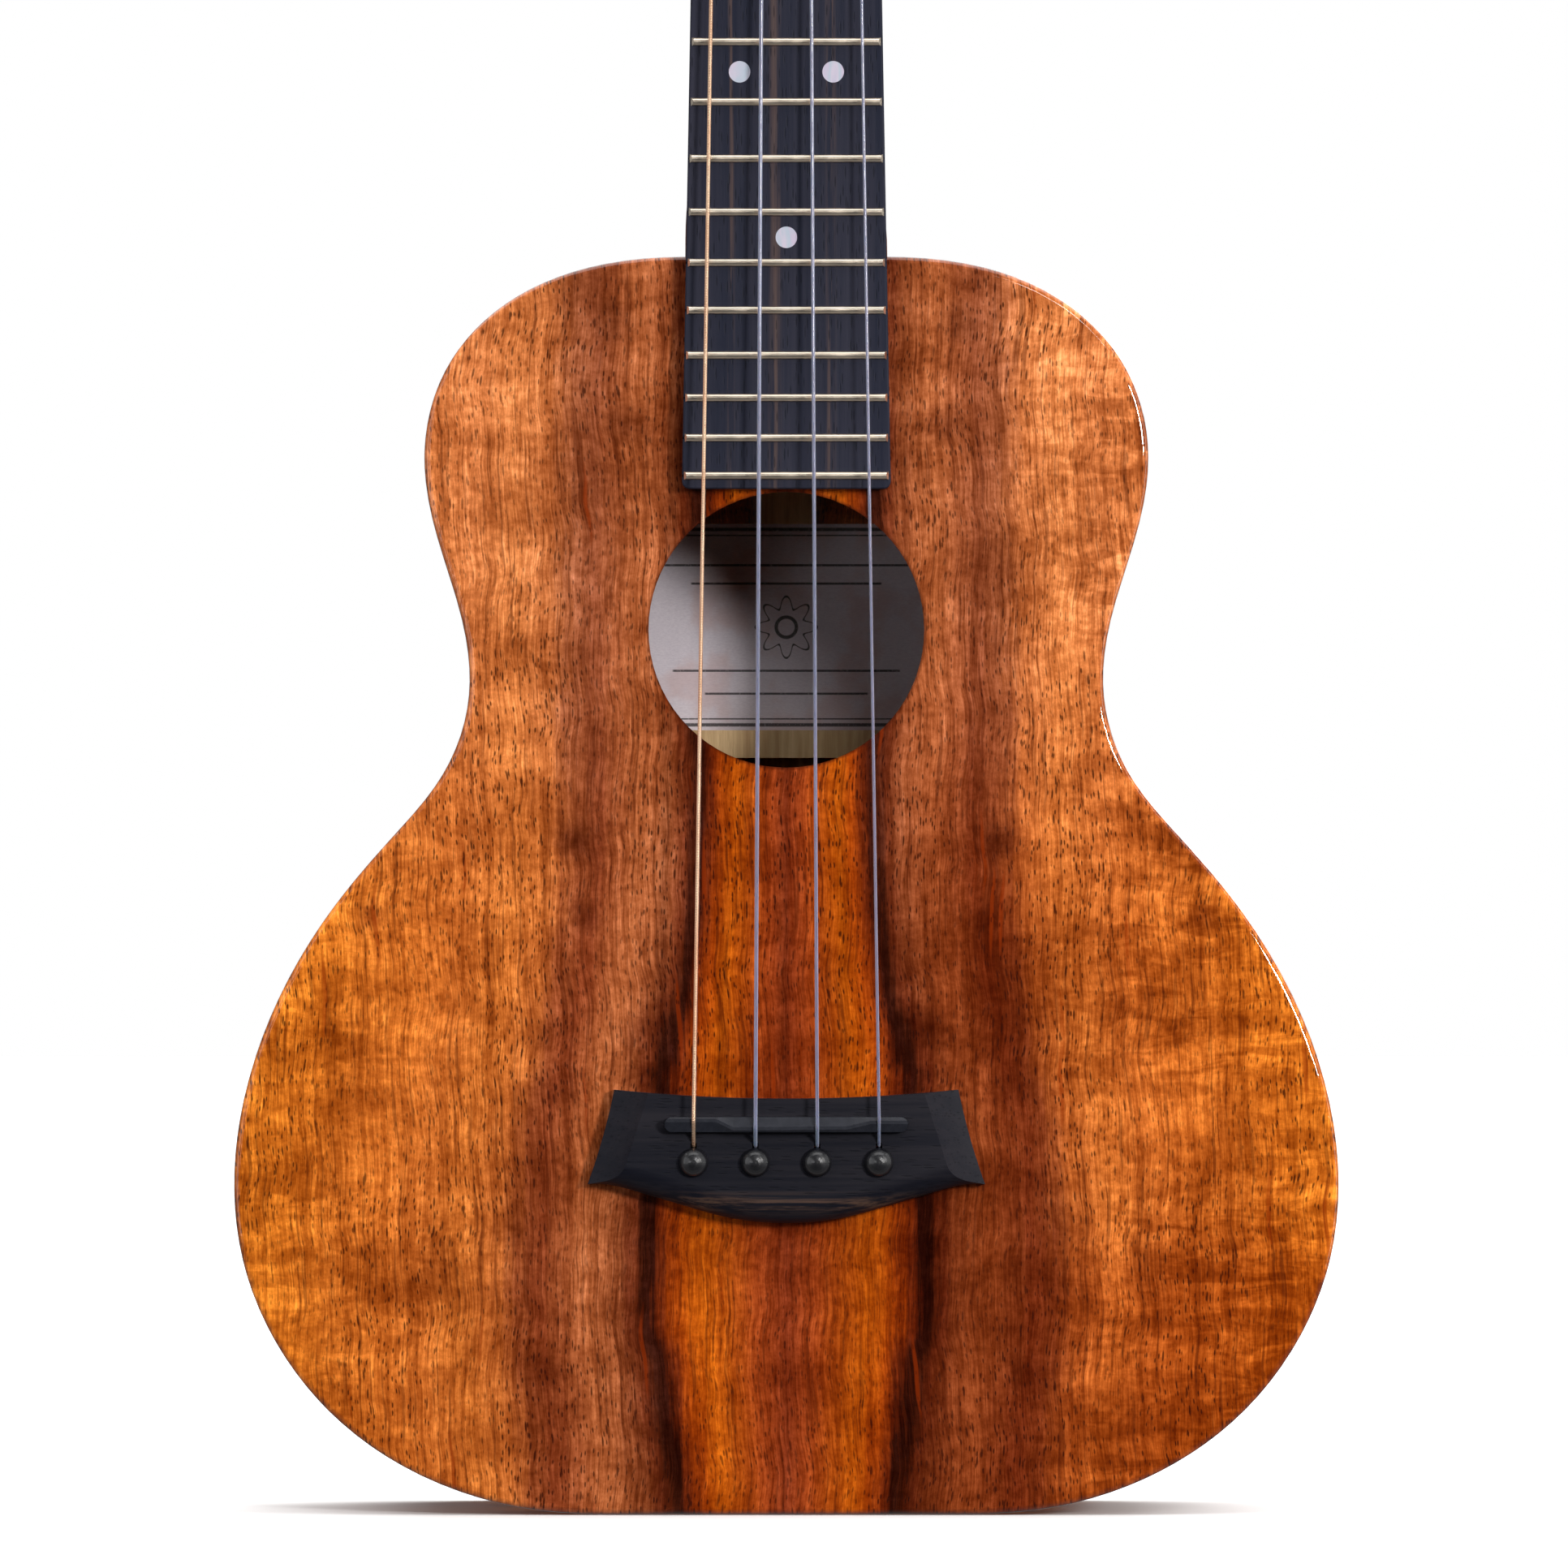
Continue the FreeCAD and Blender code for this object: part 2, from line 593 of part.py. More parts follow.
def neck_shaft():
    """The D-section shaft, from the body to just past the nut."""
    return Part.makeLoft([shaft_section(size("body_length")), shaft_section(HEAD_ORIGIN.z)], True, True)


HEEL_SECTIONS = ((0.0, 21.6, 72, 3.2), (5.0, 21.6, 68, 3.0), (10.0, 21.4, 62, 2.6), (14.0, 21.2, 54, 2.2),
                 (18.0, 20.7, 43, 1.7), (23.0, 19.5, 32, 1.4), (30.0, 17.8, 24.5, 1.2), (40.0, 15.8, 19.7, 1.0),
                 (52.0, 14.2, 17.2, 1.0), (61.0, 13.4, 16.4, 1.0))


def heel_section(depth, half_width, reach, waist):
    """A heel section at a depth behind the front plane, its flat against the body."""
    place = Placement(Vector(0, FRONT + depth, size("body_length")), Rotation(Vector(1, 0, 0), 90))
    return neck_section(half_width, reach, place, waist)


def neck_heel():
    """The heel that sweeps from the shaft down the end of the body."""
    return Part.makeLoft([heel_section(*row) for row in HEEL_SECTIONS], True, False)


HEAD_OUTLINE = ((17.0, 0), (18.4, 12), (23.5, 27), (27.2, 44), (28.2, 70), (29.2, 100), (30.5, 128),
                (31.0, 143))


def head_outline(depth):
    """The headstock's outline: flared sides under a shallow arched crown."""
    edges = []
    for sign in (1, -1):
        curve = Part.BSplineCurve()
        curve.interpolate([Vector(sign * x, depth, rise) for x, rise in HEAD_OUTLINE])
        edges.append(curve.toShape())
    corner, shoulder = HEAD_OUTLINE[0], HEAD_OUTLINE[-1]
    edges.append(Part.makeLine(Vector(-corner[0], depth, 0), Vector(corner[0], depth, 0)))
    edges.append(Part.Arc(Vector(-shoulder[0], depth, shoulder[1]), Vector(0, depth, size("head_length")),
                          Vector(shoulder[0], depth, shoulder[1])).toShape())
    return Part.Wire(Part.__sortEdges__(edges))


def head_slab(front, thickness):
    """A slab of the headstock's outline, placed on the tilted head."""
    slab = Part.Face(head_outline(front)).extrude(Vector(0, thickness, 0))
    slab.Placement = HEAD
    return slab


def tuner_place(number):
    """The post's centre on the headstock as (X, rise), and the side it is on."""
    sign = 1 if number < 3 else -1
    row = "lower" if number in (1, 4) else "upper"
    return sign * size(f"{row}_post_offset"), size(f"{row}_post_rise"), sign


def head_drill(x, rise, radius, depth=40, start=-20):
    """A round cutter through the headstock, square to its face."""
    drill = Part.makeCylinder(radius, depth, Vector(x, start, rise), Vector(0, 1, 0))
    drill.Placement = HEAD
    return drill


TRANSITION_START = 500.0                                # where the shaft begins to swell, as a Z
TRANSITION_SECTIONS = ((0.0, 17.0, 14.0, 2.6), (9.0, 17.9, 13.3, 4.0), (20.0, 20.7, 13.0, 8.0))
SLAB_START = 15.0                                       # how far up the head its full slab begins
FACE_LAYER = 4.0                                        # the square-edged wood right behind the headplate


def neck_transition():
    """The swelling that carries the round shaft into the flat headstock."""
    sections = [shaft_section(TRANSITION_START), shaft_section(TRANSITION_START + SLAB_START / 2)]
    for rise, half_width, depth, squareness in TRANSITION_SECTIONS:
        place = HEAD.multiply(Placement(Vector(0, 0, rise), Rotation()))
        sections.append(neck_section(half_width, depth, place, squareness=squareness))
    ahead_of_board = Part.makeBox(80, 40, 80, Vector(-40, FRONT - 40, HEAD_ORIGIN.z - 60))
    ahead_of_head = Part.makeBox(80, 40, 90, Vector(-40, -40, -30))
    ahead_of_head.Placement = HEAD
    return Part.makeLoft(sections, True, False).cut([ahead_of_board, ahead_of_head])


def head_wood():
    """The headstock's flat slab, its back edges rounded, above the transition."""
    slab = Part.Face(head_outline(0)).extrude(Vector(0, size("head_thickness"), 0))
    back = [edge for edge in slab.Edges if edge.BoundBox.YMin > size("head_thickness") - 0.01]
    slab = slab.makeFillet(size("head_back_round"), back)
    slab = slab.cut(Part.makeBox(80, 40, 40 + SLAB_START, Vector(-40, -20, -40)))
    slab.Placement = HEAD
    return slab.fuse(head_slab(0, FACE_LAYER))


def add_neck():
    """Shaft, heel, tenon and headstock carved from one piece of wood."""
    heel = neck_heel()
    length = size("tenon_length")
    tenon = Part.makeBox(size("tenon_width"), size("tenon_depth") - 2, length + 0.5,
                         Vector(-size("tenon_width") / 2, FRONT + size("top_thickness") + 2,
                                size("body_length") - length))
    wood = neck_shaft().fuse([heel, tenon, neck_transition(), head_wood()]).removeSplitter()
    drills = []
    for number in STRINGS:
        x, rise, sign = tuner_place(number)
        drills.append(head_drill(x, rise, size("post_hole_radius")))
        screw_x, screw_rise = screw_place(number)
        drills.append(head_drill(screw_x, screw_rise, size("screw_radius"), 7, size("head_thickness") - 7))
    keep(add_shape("neck_wood", wood.cut(drills)), "neck")
    cap = Part.Face(heel_section(*HEEL_SECTIONS[-1])).extrude(Vector(0, size("cap_thickness"), 0))
    keep(add_shape("heel_cap_plate", cap), "heel_cap")
    veneer = head_slab(-size("headplate_thickness"), size("headplate_thickness"))
    floor = Part.makeBox(200, 60, 60, Vector(-100, FRONT - 20, HEAD_ORIGIN.z - 60))
    holes = [head_drill(*tuner_place(number)[:2], size("post_hole_radius")) for number in STRINGS]
    keep(add_shape("headplate_veneer", veneer.cut([floor, *holes])), "headplate")


# ---------------------------------------------------------------- bridge

def bridge_outline():
    """The bridge's outline: a hollow top edge, leaning ends and a belly towards the tail."""
    top, wing, belly = size("bridge_top"), size("bridge_wing"), size("bridge_belly")
    corner = Vector(size("bridge_top_half"), FRONT, top)
    tip = Vector(size("bridge_wing_half"), FRONT, wing)
    bow = (corner + tip) / 2 - Vector(0.35, 0, 0.2)

    def mirrored(point):
        return Vector(-point.x, point.y, point.z)

    hollow = Vector(0, FRONT, top - size("bridge_top_hollow"))
    upper = Part.Arc(mirrored(corner), hollow, corner).toShape()
    ends = [Part.Arc(corner, bow, tip).toShape(),
            Part.Arc(mirrored(corner), mirrored(bow), mirrored(tip)).toShape()]
    half = [Vector(37.5, FRONT, wing - 0.15), Vector(31.5, FRONT, wing - 1.7), Vector(24, FRONT, wing - 3.9),
            Vector(12, FRONT, wing - 7.2)]
    points = [tip, *half, Vector(0, FRONT, belly), *[mirrored(point) for point in reversed(half)],
              mirrored(tip)]
    lower = Part.BSplineCurve()
    lower.interpolate(Points=points)
    return Part.Wire(Part.__sortEdges__([upper, *ends, lower.toShape()]))


def wing_scoop(sign):
    """The cutter that hollows one end of the bridge down to its thin tip."""
    lean = math.radians(size("wing_lean"))
    along = Vector(-sign * math.sin(lean), 0, math.cos(lean)) * 80
    across = Vector(sign * math.cos(lean), 0, math.sin(lean))
    face = FRONT - size("bridge_thickness")
    start = Vector(sign * size("wing_start"), face, size("wing_start_height")) - along / 2
    fall = size("bridge_thickness") - size("wing_tip_thickness")
    end = start + across * size("wing_run") + Vector(0, fall, 0)
    chord = end - start
    radius = size("wing_scoop_radius")
    sag = radius - math.sqrt(radius ** 2 - (chord.Length / 2) ** 2)
    deeper = (Vector(0, size("wing_run"), 0) - across * fall).normalize()
    curve = Part.Arc(start, (start + end) / 2 + deeper * sag, end).toShape()
    outside = end + across * 40
    clear = Vector(0, -40, 0)
    sides = Part.makePolygon([end, outside, outside + clear, start + clear, start])
    return Part.Face(Part.Wire([curve, *sides.Edges])).extrude(along)


def add_bridge():
    """An ebony bridge with scooped wings, a rolled belly edge, a saddle slot and four pin bores."""
    blank = add_extrusion("bridge_blank", add_shape("bridge_outline_wire", bridge_outline()),
                          "bridge_thickness", (0, -1, 0))
    doc.recompute()
    face = FRONT - size("bridge_thickness")
    belly = [index for index, edge in enumerate(blank.Shape.Edges, 1)
             if edge.BoundBox.YMax < face + 0.01 and edge.BoundBox.ZMin < size("bridge_belly") + 1]
    rolled = doc.addObject("Part::Fillet", "bridge_rolled")
    rolled.Base = blank
    rolled.Edges = [(index, size("belly_roll"), size("belly_roll")) for index in belly]
    scoops = [add_shape(f"{side}_scoop", wing_scoop(sign)) for side, sign in SIDES.items()]
    bores = [add_pin_bore(f"bridge_bore_{number}", string_offset(number)) for number in STRINGS]
    slot = saddle_blank("saddle_slot", "saddle_gap", "bridge_thickness - saddle_seat", 20)
    keep(cut("bridge_cut", rolled, *scoops, *bores, slot), "bridge")


def saddle_blank(name, gap, base, rise):
    """A round-ended bar along the saddle's line, standing forward from a height on the bridge."""
    half = "saddle_length / 2 - saddle_thickness / 2"
    base_y = f"-tail_depth / 2 - ({base})"
    width = f"saddle_thickness + 2 * {gap}"
    bar = add_box(name + "_bar", (f"-({half})", f"{base_y} - {rise}", f"saddle_height - ({width}) / 2"),
                  (f"2 * ({half})", rise, width))
    ends = [add_cylinder(f"{name}_{side}_end", f"({width}) / 2", rise,
                         (f"{sign} * ({half})", base_y, "saddle_height"), FORWARD)
            for side, sign in SIDES.items()]
    return fuse(name, bar, *ends)


CREST_SHIFT = {1: 0.5, 2: -0.8, 3: -0.9, 4: 0.9}        # each string's crest from the saddle's line, in Z
SADDLE_CROWNS = ((-27, 0.9), (-15, 0.9), (-11.3, -0.9), (13, -0.7), (18, 0.5), (27, 0.5))


def saddle_crown(x, shift):
    """The saddle's section at X: a ridge whose crest is shifted for that string's intonation."""
    half = size("saddle_thickness") / 2 + 1
    height = size("saddle_height")
    crest = FRONT - size("bridge_thickness") - size("saddle_rise")
    corners = [(FRONT - 4, -half), (crest + 1.5, -half), (crest, shift - 0.35), (crest, shift + 0.35),
               (crest + 1.5, half), (FRONT - 4, half), (FRONT - 4, -half)]
    return Part.makePolygon([Vector(x, y, height + z) for y, z in corners])


def add_saddle():
    """A compensated saddle: its grooved crest steps towards or away from the nut under each string."""
    bar = saddle_blank("saddle_bar", "0", "bridge_thickness - saddle_seat", 8.5)
    spans = []
    for start, end in zip(SADDLE_CROWNS, SADDLE_CROWNS[1:]):
        spans.append(Part.makeLoft([saddle_crown(*start), saddle_crown(*end)], True, True))
    crown = add_shape("saddle_crown", spans[0].fuse(spans[1:]))
    shaped = common("saddle_shaped", bar, crown)
    grooves = [add_shape(f"saddle_groove_{number}", string_tube(number, size("string_slack")))
               for number in STRINGS]
    keep(cut("saddle_grooved", shaped, *grooves), "saddle")


def add_bridge_pins():
    """Four turned pins with domed heads, wedged in their bores."""
    for number in STRINGS:
        head, rise = "pin_head_radius", "pin_head_rise"
        profile = [("0", "-pin_length"), ("pin_tip_radius * 0.6", "-pin_length"),
                   ("pin_tip_radius", "-pin_length + 1"), ("pin_top_radius", "0"), (f"{head} - 0.15", "0"),
                   (head, "0.15")]
        for step in range(1, 8):
            angle = math.radians(90 * step / 8)
            profile.append((f"{head} * {math.cos(angle):.6f}",
                            f"0.45 + ({rise} - 0.45) * {math.sin(angle):.6f}"))
        profile.append(("0", rise))
        pin = add_revolution(f"pin_{number}", profile)
        pin.Placement = Placement(Vector(), FORWARD)
        move(pin, string_offset(number), "-tail_depth / 2 - bridge_thickness - 0.02",
             "pin_height")
        keep(pin, f"bridge_pin_{number}")


# ---------------------------------------------------------------- strings

def string_points(number):
    """The route of a string, from its knot under the bridge to its tuner post."""
    x_bridge = size("string_spacing") * (2.5 - number)
    x_nut = size("nut_spacing") * (2.5 - number)
    radius = STRING_DIAMETER[number] / 2
    crest = FRONT - size("bridge_thickness") - size("saddle_rise")
    slot = size("slot_height")
    nut_y = FRONT - size("nut_rise") + 0.9 - radius
    route = [Vector(x_bridge, FRONT + 5.2, slot),
             Vector(x_bridge, FRONT - size("bridge_thickness") + 0.6, slot),
             Vector(x_bridge, crest - radius - 0.25, size("saddle_height") + CREST_SHIFT[number]),
             Vector(x_nut, nut_y, size("nut_height") + 1.2)]
    return route + [string_end(number)]


WRAP_DEPTH = 6.2                                        # how far the wraps start above the head's wood


def string_end(number):
    """Where a string meets the wraps on its post, on the inner side of the post."""
    x, rise, sign = tuner_place(number)
    diameter = STRING_DIAMETER[number]
    offset = size("post_radius") + diameter / 2
    clear = size("post_radius") + diameter + 0.25
    back = math.sqrt(clear ** 2 - size("post_radius") ** 2) + 0.1
    return head_point(x - sign * offset, -(WRAP_DEPTH + diameter / 2), rise - back)


BEND_RADII = (1.2, 1.6, 6.0)                            # at the slot's edge, the saddle and the nut


def string_path(points):
    """Straight runs joined by tangent arcs."""
    edges = []
    start = points[0]
    for before, corner, after, radius in zip(points, points[1:], points[2:], BEND_RADII):
        inward = (before - corner).normalize()
        outward = (after - corner).normalize()
        half_angle = inward.getAngle(outward) / 2
        reach = radius / math.tan(half_angle)
        centre = corner + (inward + outward).normalize() * (radius / math.sin(half_angle))
        first, last = corner + inward * reach, corner + outward * reach
        middle = centre + (corner - centre).normalize() * radius
        edges.append(Part.makeLine(start, first))
        edges.append(Part.Arc(first, middle, last).toShape())
        start = last
    edges.append(Part.makeLine(start, points[-1]))
    return Part.Wire(edges)


def string_tube(number, slack=0.0, flush_nut=False):
    """A string's solid, or with slack the cutter that clears it at the saddle or the nut."""
    points = string_points(number)
    radius = STRING_DIAMETER[number] / 2 + slack
    if flush_nut:
        heading = (points[3] - points[2]).normalize()
        lead = Part.makeCylinder(radius, 20, points[3] - heading * 10, heading)
        heading = (points[4] - points[3]).normalize()
        return lead.fuse(Part.makeCylinder(radius, 20, points[3], heading))
    path = string_path(points)
    start = points[0]
    section = Part.Wire(Part.makeCircle(radius, start, points[1] - start))
    return path.makePipeShell([section], True, True)


def add_strings():
    """Four strings, each knotted under the bridge plate and bent over saddle and nut."""
    for number in STRINGS:
        knot_centre = string_points(number)[0]
        tube = string_tube(number)
        knot = Part.makeSphere(1.15, knot_centre)
        keep(add_shape(f"string_run_{number}", tube.fuse(knot)), f"string_{number}")


WRAPS = 3


def add_windings():
    """The wraps of each string round its post: a sleeve with one round bead for each wrap."""
    for number in STRINGS:
        diameter = STRING_DIAMETER[number]
        inside, outside = size("post_radius"), size("post_radius") + diameter
        valley = inside + diameter * 0.35
        edges = []
        for wrap in range(WRAPS):
            low, high = Vector(valley, 0, wrap * diameter), Vector(valley, 0, (wrap + 1) * diameter)
            edges.append(Part.Arc(low, Vector(outside, 0, (wrap + 0.5) * diameter), high).toShape())
        foot, top = Vector(inside, 0, 0), Vector(inside, 0, WRAPS * diameter)
        edges.append(Part.makeLine(high, top))
        edges.append(Part.makeLine(top, foot))
        edges.append(Part.makeLine(foot, Vector(valley, 0, 0)))
        wraps = Part.Face(Part.Wire(Part.__sortEdges__(edges))).revolve(Vector(), Vector(0, 0, 1), 360)
        wraps.Placement = tuner_frame(number).multiply(Placement(Vector(0, 0, WRAP_DEPTH), Rotation()))
        keep(add_shape(f"wraps_{number}", wraps), f"string_winding_{number}")


# ---------------------------------------------------------------- tuners

def tuner_frame(number):
    """A post's own frame: Z out of the headstock's face, X across it and Y up along it."""
    x, rise, sign = tuner_place(number)
    return Placement(head_point(x, 0, rise), HEAD_TURN.multiply(FORWARD))


def worm_offset():
    """The distance between the worm's axis and the wheel's."""
    return size("worm_radius") + size("gear_module") * size("gear_teeth") / 2


def worm_turn(number):
    """The rotation that lays a tuner's shaft out to its side, at the worm's place."""
    sign = tuner_place(number)[2]
    place = Placement(Vector(0, -worm_offset(), -size("gear_depth")), Rotation(Vector(0, 1, 0), sign * 90))
    return tuner_frame(number).multiply(place)


def screw_place(number):
    """The housing screw's centre across and up the headstock."""
    x, rise, sign = tuner_place(number)
    return x, rise + lug_offset()


def housing_centre_offset():
    """How far the housing's middle sits below the post, so that it covers wheel and worm."""
    return -2.6


def lug_offset():
    """How far above the post the housing's screw lug is centred."""
    return housing_centre_offset() + size("housing_length") / 2 + 2.6


def make_housing(number):
    """One sealed gear housing: a rounded shell open to the wood, with a screw lug and bearings."""
    sign = tuner_place(number)[2]
    width, length, depth = size("housing_width"), size("housing_length"), size("housing_depth")
    wall, gap = size("housing_wall"), size("running_gap")
    back = -size("head_thickness")
    middle = housing_centre_offset()
    shell = Part.makeBox(width, length, depth, Vector(-width / 2, middle - length / 2, back - depth))
    outer = [edge for edge in shell.Edges if edge.BoundBox.ZMin < back - 1]
    shell = shell.makeFillet(1.6, outer)
    hollow = Part.makeBox(width - 2 * wall, length - 2 * wall, depth - wall,
                          Vector(-width / 2 + wall, middle - length / 2 + wall, back - depth + wall))
    lug_y = lug_offset()
    lug = Part.makeCylinder(3.1, 1.8, Vector(0, lug_y, back - 1.8))
    tongue = Part.makeBox(6.2, 3.4, 1.8, Vector(-3.1, middle + length / 2 - 0.8, back - 1.8))
    worm_line = Vector(0, -worm_offset(), -size("gear_depth"))
    barrel = Part.makeCylinder(3.0, width / 2 + 2.4, worm_line, Vector(sign, 0, 0))
    barrel = barrel.cut(Part.makeBox(width - 2 * wall, length, depth * 2,
                                     Vector(-width / 2 + wall, middle - length / 2, back - depth * 1.5)))
    solid = shell.cut(hollow).fuse([lug, tongue, barrel])
    shaft_hole = Part.makeCylinder(size("shaft_radius") + gap, 30, worm_line, Vector(sign, 0, 0))
    pivot_hole = Part.makeCylinder(size("pivot_radius") + gap, 7.0, worm_line, Vector(-sign, 0, 0))
    post_hole = Part.makeCylinder(size("pivot_radius") + gap, 20, Vector(0, 0, back - depth - 5))
    screw_hole = Part.makeCylinder(size("screw_radius"), 10, Vector(0, lug_y, back - 5))
    return solid.cut([shaft_hole, pivot_hole, post_hole, screw_hole]).removeSplitter()


def make_gear():
    """The worm wheel: a disc with straight narrow teeth, bored for the post's seat."""
    teeth = int(size("gear_teeth"))
    module = size("gear_module")
    pitch_radius = module * teeth / 2
    root, tip = pitch_radius - 1.25 * module, pitch_radius + module
    low = -size("gear_depth") - size("gear_width") / 2
    disc = Part.makeCylinder(root, size("gear_width"), Vector(0, 0, low))
    cutters = []
    for tooth in range(teeth):
        corners = [(root - 0.3, -0.48), (pitch_radius, -0.31), (tip, -0.16), (tip, 0.16),
                   (pitch_radius, 0.31), (root - 0.3, 0.48), (root - 0.3, -0.48)]
        face = Part.Face(Part.makePolygon([Vector(side, -out, low) for out, side in corners]))
        blade = face.extrude(Vector(0, 0, size("gear_width")))
        blade.rotate(Vector(), Vector(0, 0, 1), 360.0 * tooth / teeth)
        cutters.append(blade)
    return disc.fuse(cutters).cut(Part.makeCylinder(size("post_seat_radius"), 30, Vector(0, 0, -40)))


def make_worm_shaft():
    """The button's shaft with its one-start worm, laid along Z with the wheel at +Y."""
    module = size("gear_module")
    lead = math.pi * module
    core = size("worm_radius") - 1.25 * module
    tip = size("worm_radius") + module
    half_root, half_tip = 0.42, 0.20
    coil = Part.makeHelix(lead, 3 * lead, core)
    profile = Part.makePolygon([Vector(core - 0.2, 0, -half_root - 0.03), Vector(tip, 0, -half_tip),
                                Vector(tip, 0, half_tip), Vector(core - 0.2, 0, half_root + 0.03),
                                Vector(core - 0.2, 0, -half_root - 0.03)])
    thread = Part.Wire(coil).makePipeShell([profile], True, True)
    thread.translate(Vector(0, 0, -1.75 * lead))        # a gap between threads faces a wheel tooth
    wall = size("housing_width") / 2
    inner_wall = wall - size("housing_wall")
    body = Part.makeCylinder(core, 2 * inner_wall, Vector(0, 0, -inner_wall))
    stub = Part.makeCylinder(size("pivot_radius"), 1.2, Vector(0, 0, -inner_wall - 0.7))
    collar = Part.makeCylinder(size("shaft_radius") + 0.5, 1.0, Vector(0, 0, inner_wall - 1.15))
    far_end = size("button_inset") + size("shaft_engagement")
    rod = Part.makeCylinder(size("shaft_radius"), far_end - inner_wall + 1, Vector(0, 0, inner_wall - 1))
    return body.fuse([stub, collar, rod, thread])


def add_string_post(number):
    """A turned post: pivot, gear seat, plain journal and waisted head, cross-drilled for the string."""
    back = "head_thickness"
    seat_low = "-gear_depth - gear_width / 2 - 0.4"
    seat_high = "-gear_depth + gear_width / 2"
    profile = [("0", f"-{back} - housing_depth + 0.1"), ("pivot_radius", f"-{back} - housing_depth + 0.1"),
               ("pivot_radius", seat_low), ("post_seat_radius", seat_low), ("post_seat_radius", seat_high),
               ("post_radius", seat_high), ("post_radius", "post_rise - 6.2"),
               ("post_radius - 0.5", "post_rise - 4.8"), ("post_radius - 0.5", "post_rise - 2.6"),
               ("post_radius", "post_rise - 1.6"), ("post_radius", "post_rise - 0.5"),
               ("post_radius - 0.5", "post_rise"), ("0", "post_rise")]
    post = add_revolution(f"post_{number}", profile)
    add_pocket(post, f"post_{number}_eye", "XZ_Plane", "eye_radius", ("0", "post_rise - 3.7"))
    post.Placement = tuner_frame(number)
    keep(post, f"string_post_{number}")


def make_bushing():
    """A threaded bushing: a sleeve in the wood, a washer and a hexagon on the face."""
    plate = size("headplate_thickness")
    sleeve = Part.makeCylinder(size("bushing_radius"), plate + 6, Vector(0, 0, -6))
    washer = Part.makeCylinder(size("bushing_washer"), 0.7, Vector(0, 0, plate))
    flats = size("bushing_flats") / 2 / math.cos(math.radians(30))
    ring = [Vector(flats * math.cos(math.radians(60 * side)), flats * math.sin(math.radians(60 * side)),
                   plate + 0.7) for side in range(7)]
    hexagon = Part.Face(Part.makePolygon(ring)).extrude(Vector(0, 0, 2.1))
    dome = Part.makeCone(flats + 0.5, flats - 1.3, 2.1, Vector(0, 0, plate + 0.7))
    nut = hexagon.common(dome)
    bore = Part.makeCylinder(size("post_radius") + size("running_gap"), 30, Vector(0, 0, -15))
    return sleeve.fuse([washer, nut]).cut(bore)


def add_button(number):
    """An oval button with softened edges, bored for the end of its shaft."""
    length, breadth, thick = size("button_length"), size("button_breadth"), size("button_thickness")
    inset = size("button_inset")
    middle = Vector(0, 0, inset + length / 2 + 1)
    face = Part.Face(Part.Wire(Part.Ellipse(middle, length / 2, breadth / 2).toShape()))
    face.rotate(middle, Vector(1, 0, 0), 90)
    face.rotate(middle, Vector(0, 1, 0), 90)
    face.translate(Vector(0, -thick / 2, 0))
    pad = face.extrude(Vector(0, thick, 0))
    rims = pad.Edges[:1] + pad.Edges[2:]
    pad = pad.makeFillet(thick * 0.36, rims)
    collar = Part.makeCone(2.6, 3.6, 3.0, Vector(0, 0, inset))
    bore = Part.makeCylinder(size("shaft_radius"), inset + size("shaft_engagement"))
    feature = add_shape(f"button_{number}", pad.fuse(collar).cut(bore))
    feature.Placement = worm_turn(number)
    keep(feature, f"tuner_button_{number}")


def make_screw(number):
    """A round-head screw that holds a housing to the wood."""
    back = -size("head_thickness")
    lug_y = lug_offset()
    shank = Part.makeCylinder(size("screw_radius"), size("screw_length"), Vector(0, lug_y, back - 1.8))
    head = Part.makeSphere(size("screw_head_radius"), Vector(0, lug_y, back - 1.8 + 1.0))
    head = head.common(Part.makeBox(10, 10, 10, Vector(-5, lug_y - 5, back - 1.8 - 10)))
    slot = Part.makeBox(10, 0.6, 0.6, Vector(-5, lug_y - 0.3, back - 3.1))
    screw = shank.fuse(head).cut(slot)
    screw.Placement = tuner_frame(number)
    return screw


def add_tuners():
    """Four geared tuners: housing, worm shaft and button, wheel, post and bushing."""
    bushings, screws = [], []
    for number in STRINGS:
        housing = add_shape(f"housing_{number}", make_housing(number))
        housing.Placement = tuner_frame(number)
        keep(housing, f"tuner_housing_{number}")
        add_string_post(number)
        gear = add_shape(f"gear_{number}", make_gear())
        gear.Placement = tuner_frame(number)
        keep(gear, f"worm_gear_{number}")
        shaft = add_shape(f"shaft_{number}", make_worm_shaft())
        shaft.Placement = worm_turn(number)
        keep(shaft, f"tuner_shaft_{number}")
        add_button(number)
        bushing = make_bushing()
        bushing.Placement = tuner_frame(number)
        bushings.append(bushing)
        screws.append(make_screw(number))
    keep(add_shape("bushings", Part.makeCompound(bushings)), "post_bushings")
    keep(add_shape("screws", Part.makeCompound(screws)), "tuner_screws")


# ---------------------------------------------------------------- assembly

def write_parts():
    """Check every object, then write each sub-part to its own file."""
    failed = [obj.Name for obj in doc.Objects if {"Invalid", "Error"} & set(obj.State)]
    for obj in pieces:
        if obj.Shape.isNull() or not obj.Shape.isValid() or not obj.Shape.Solids:
            failed.append(obj.Label)
    if failed:
        raise RuntimeError("failed: " + ", ".join(failed))
    os.makedirs("parts", exist_ok=True)
    for obj in pieces:
        obj.Shape.exportStep(f"parts/{obj.Label}.step")
    print(len(pieces), "sub-parts written")


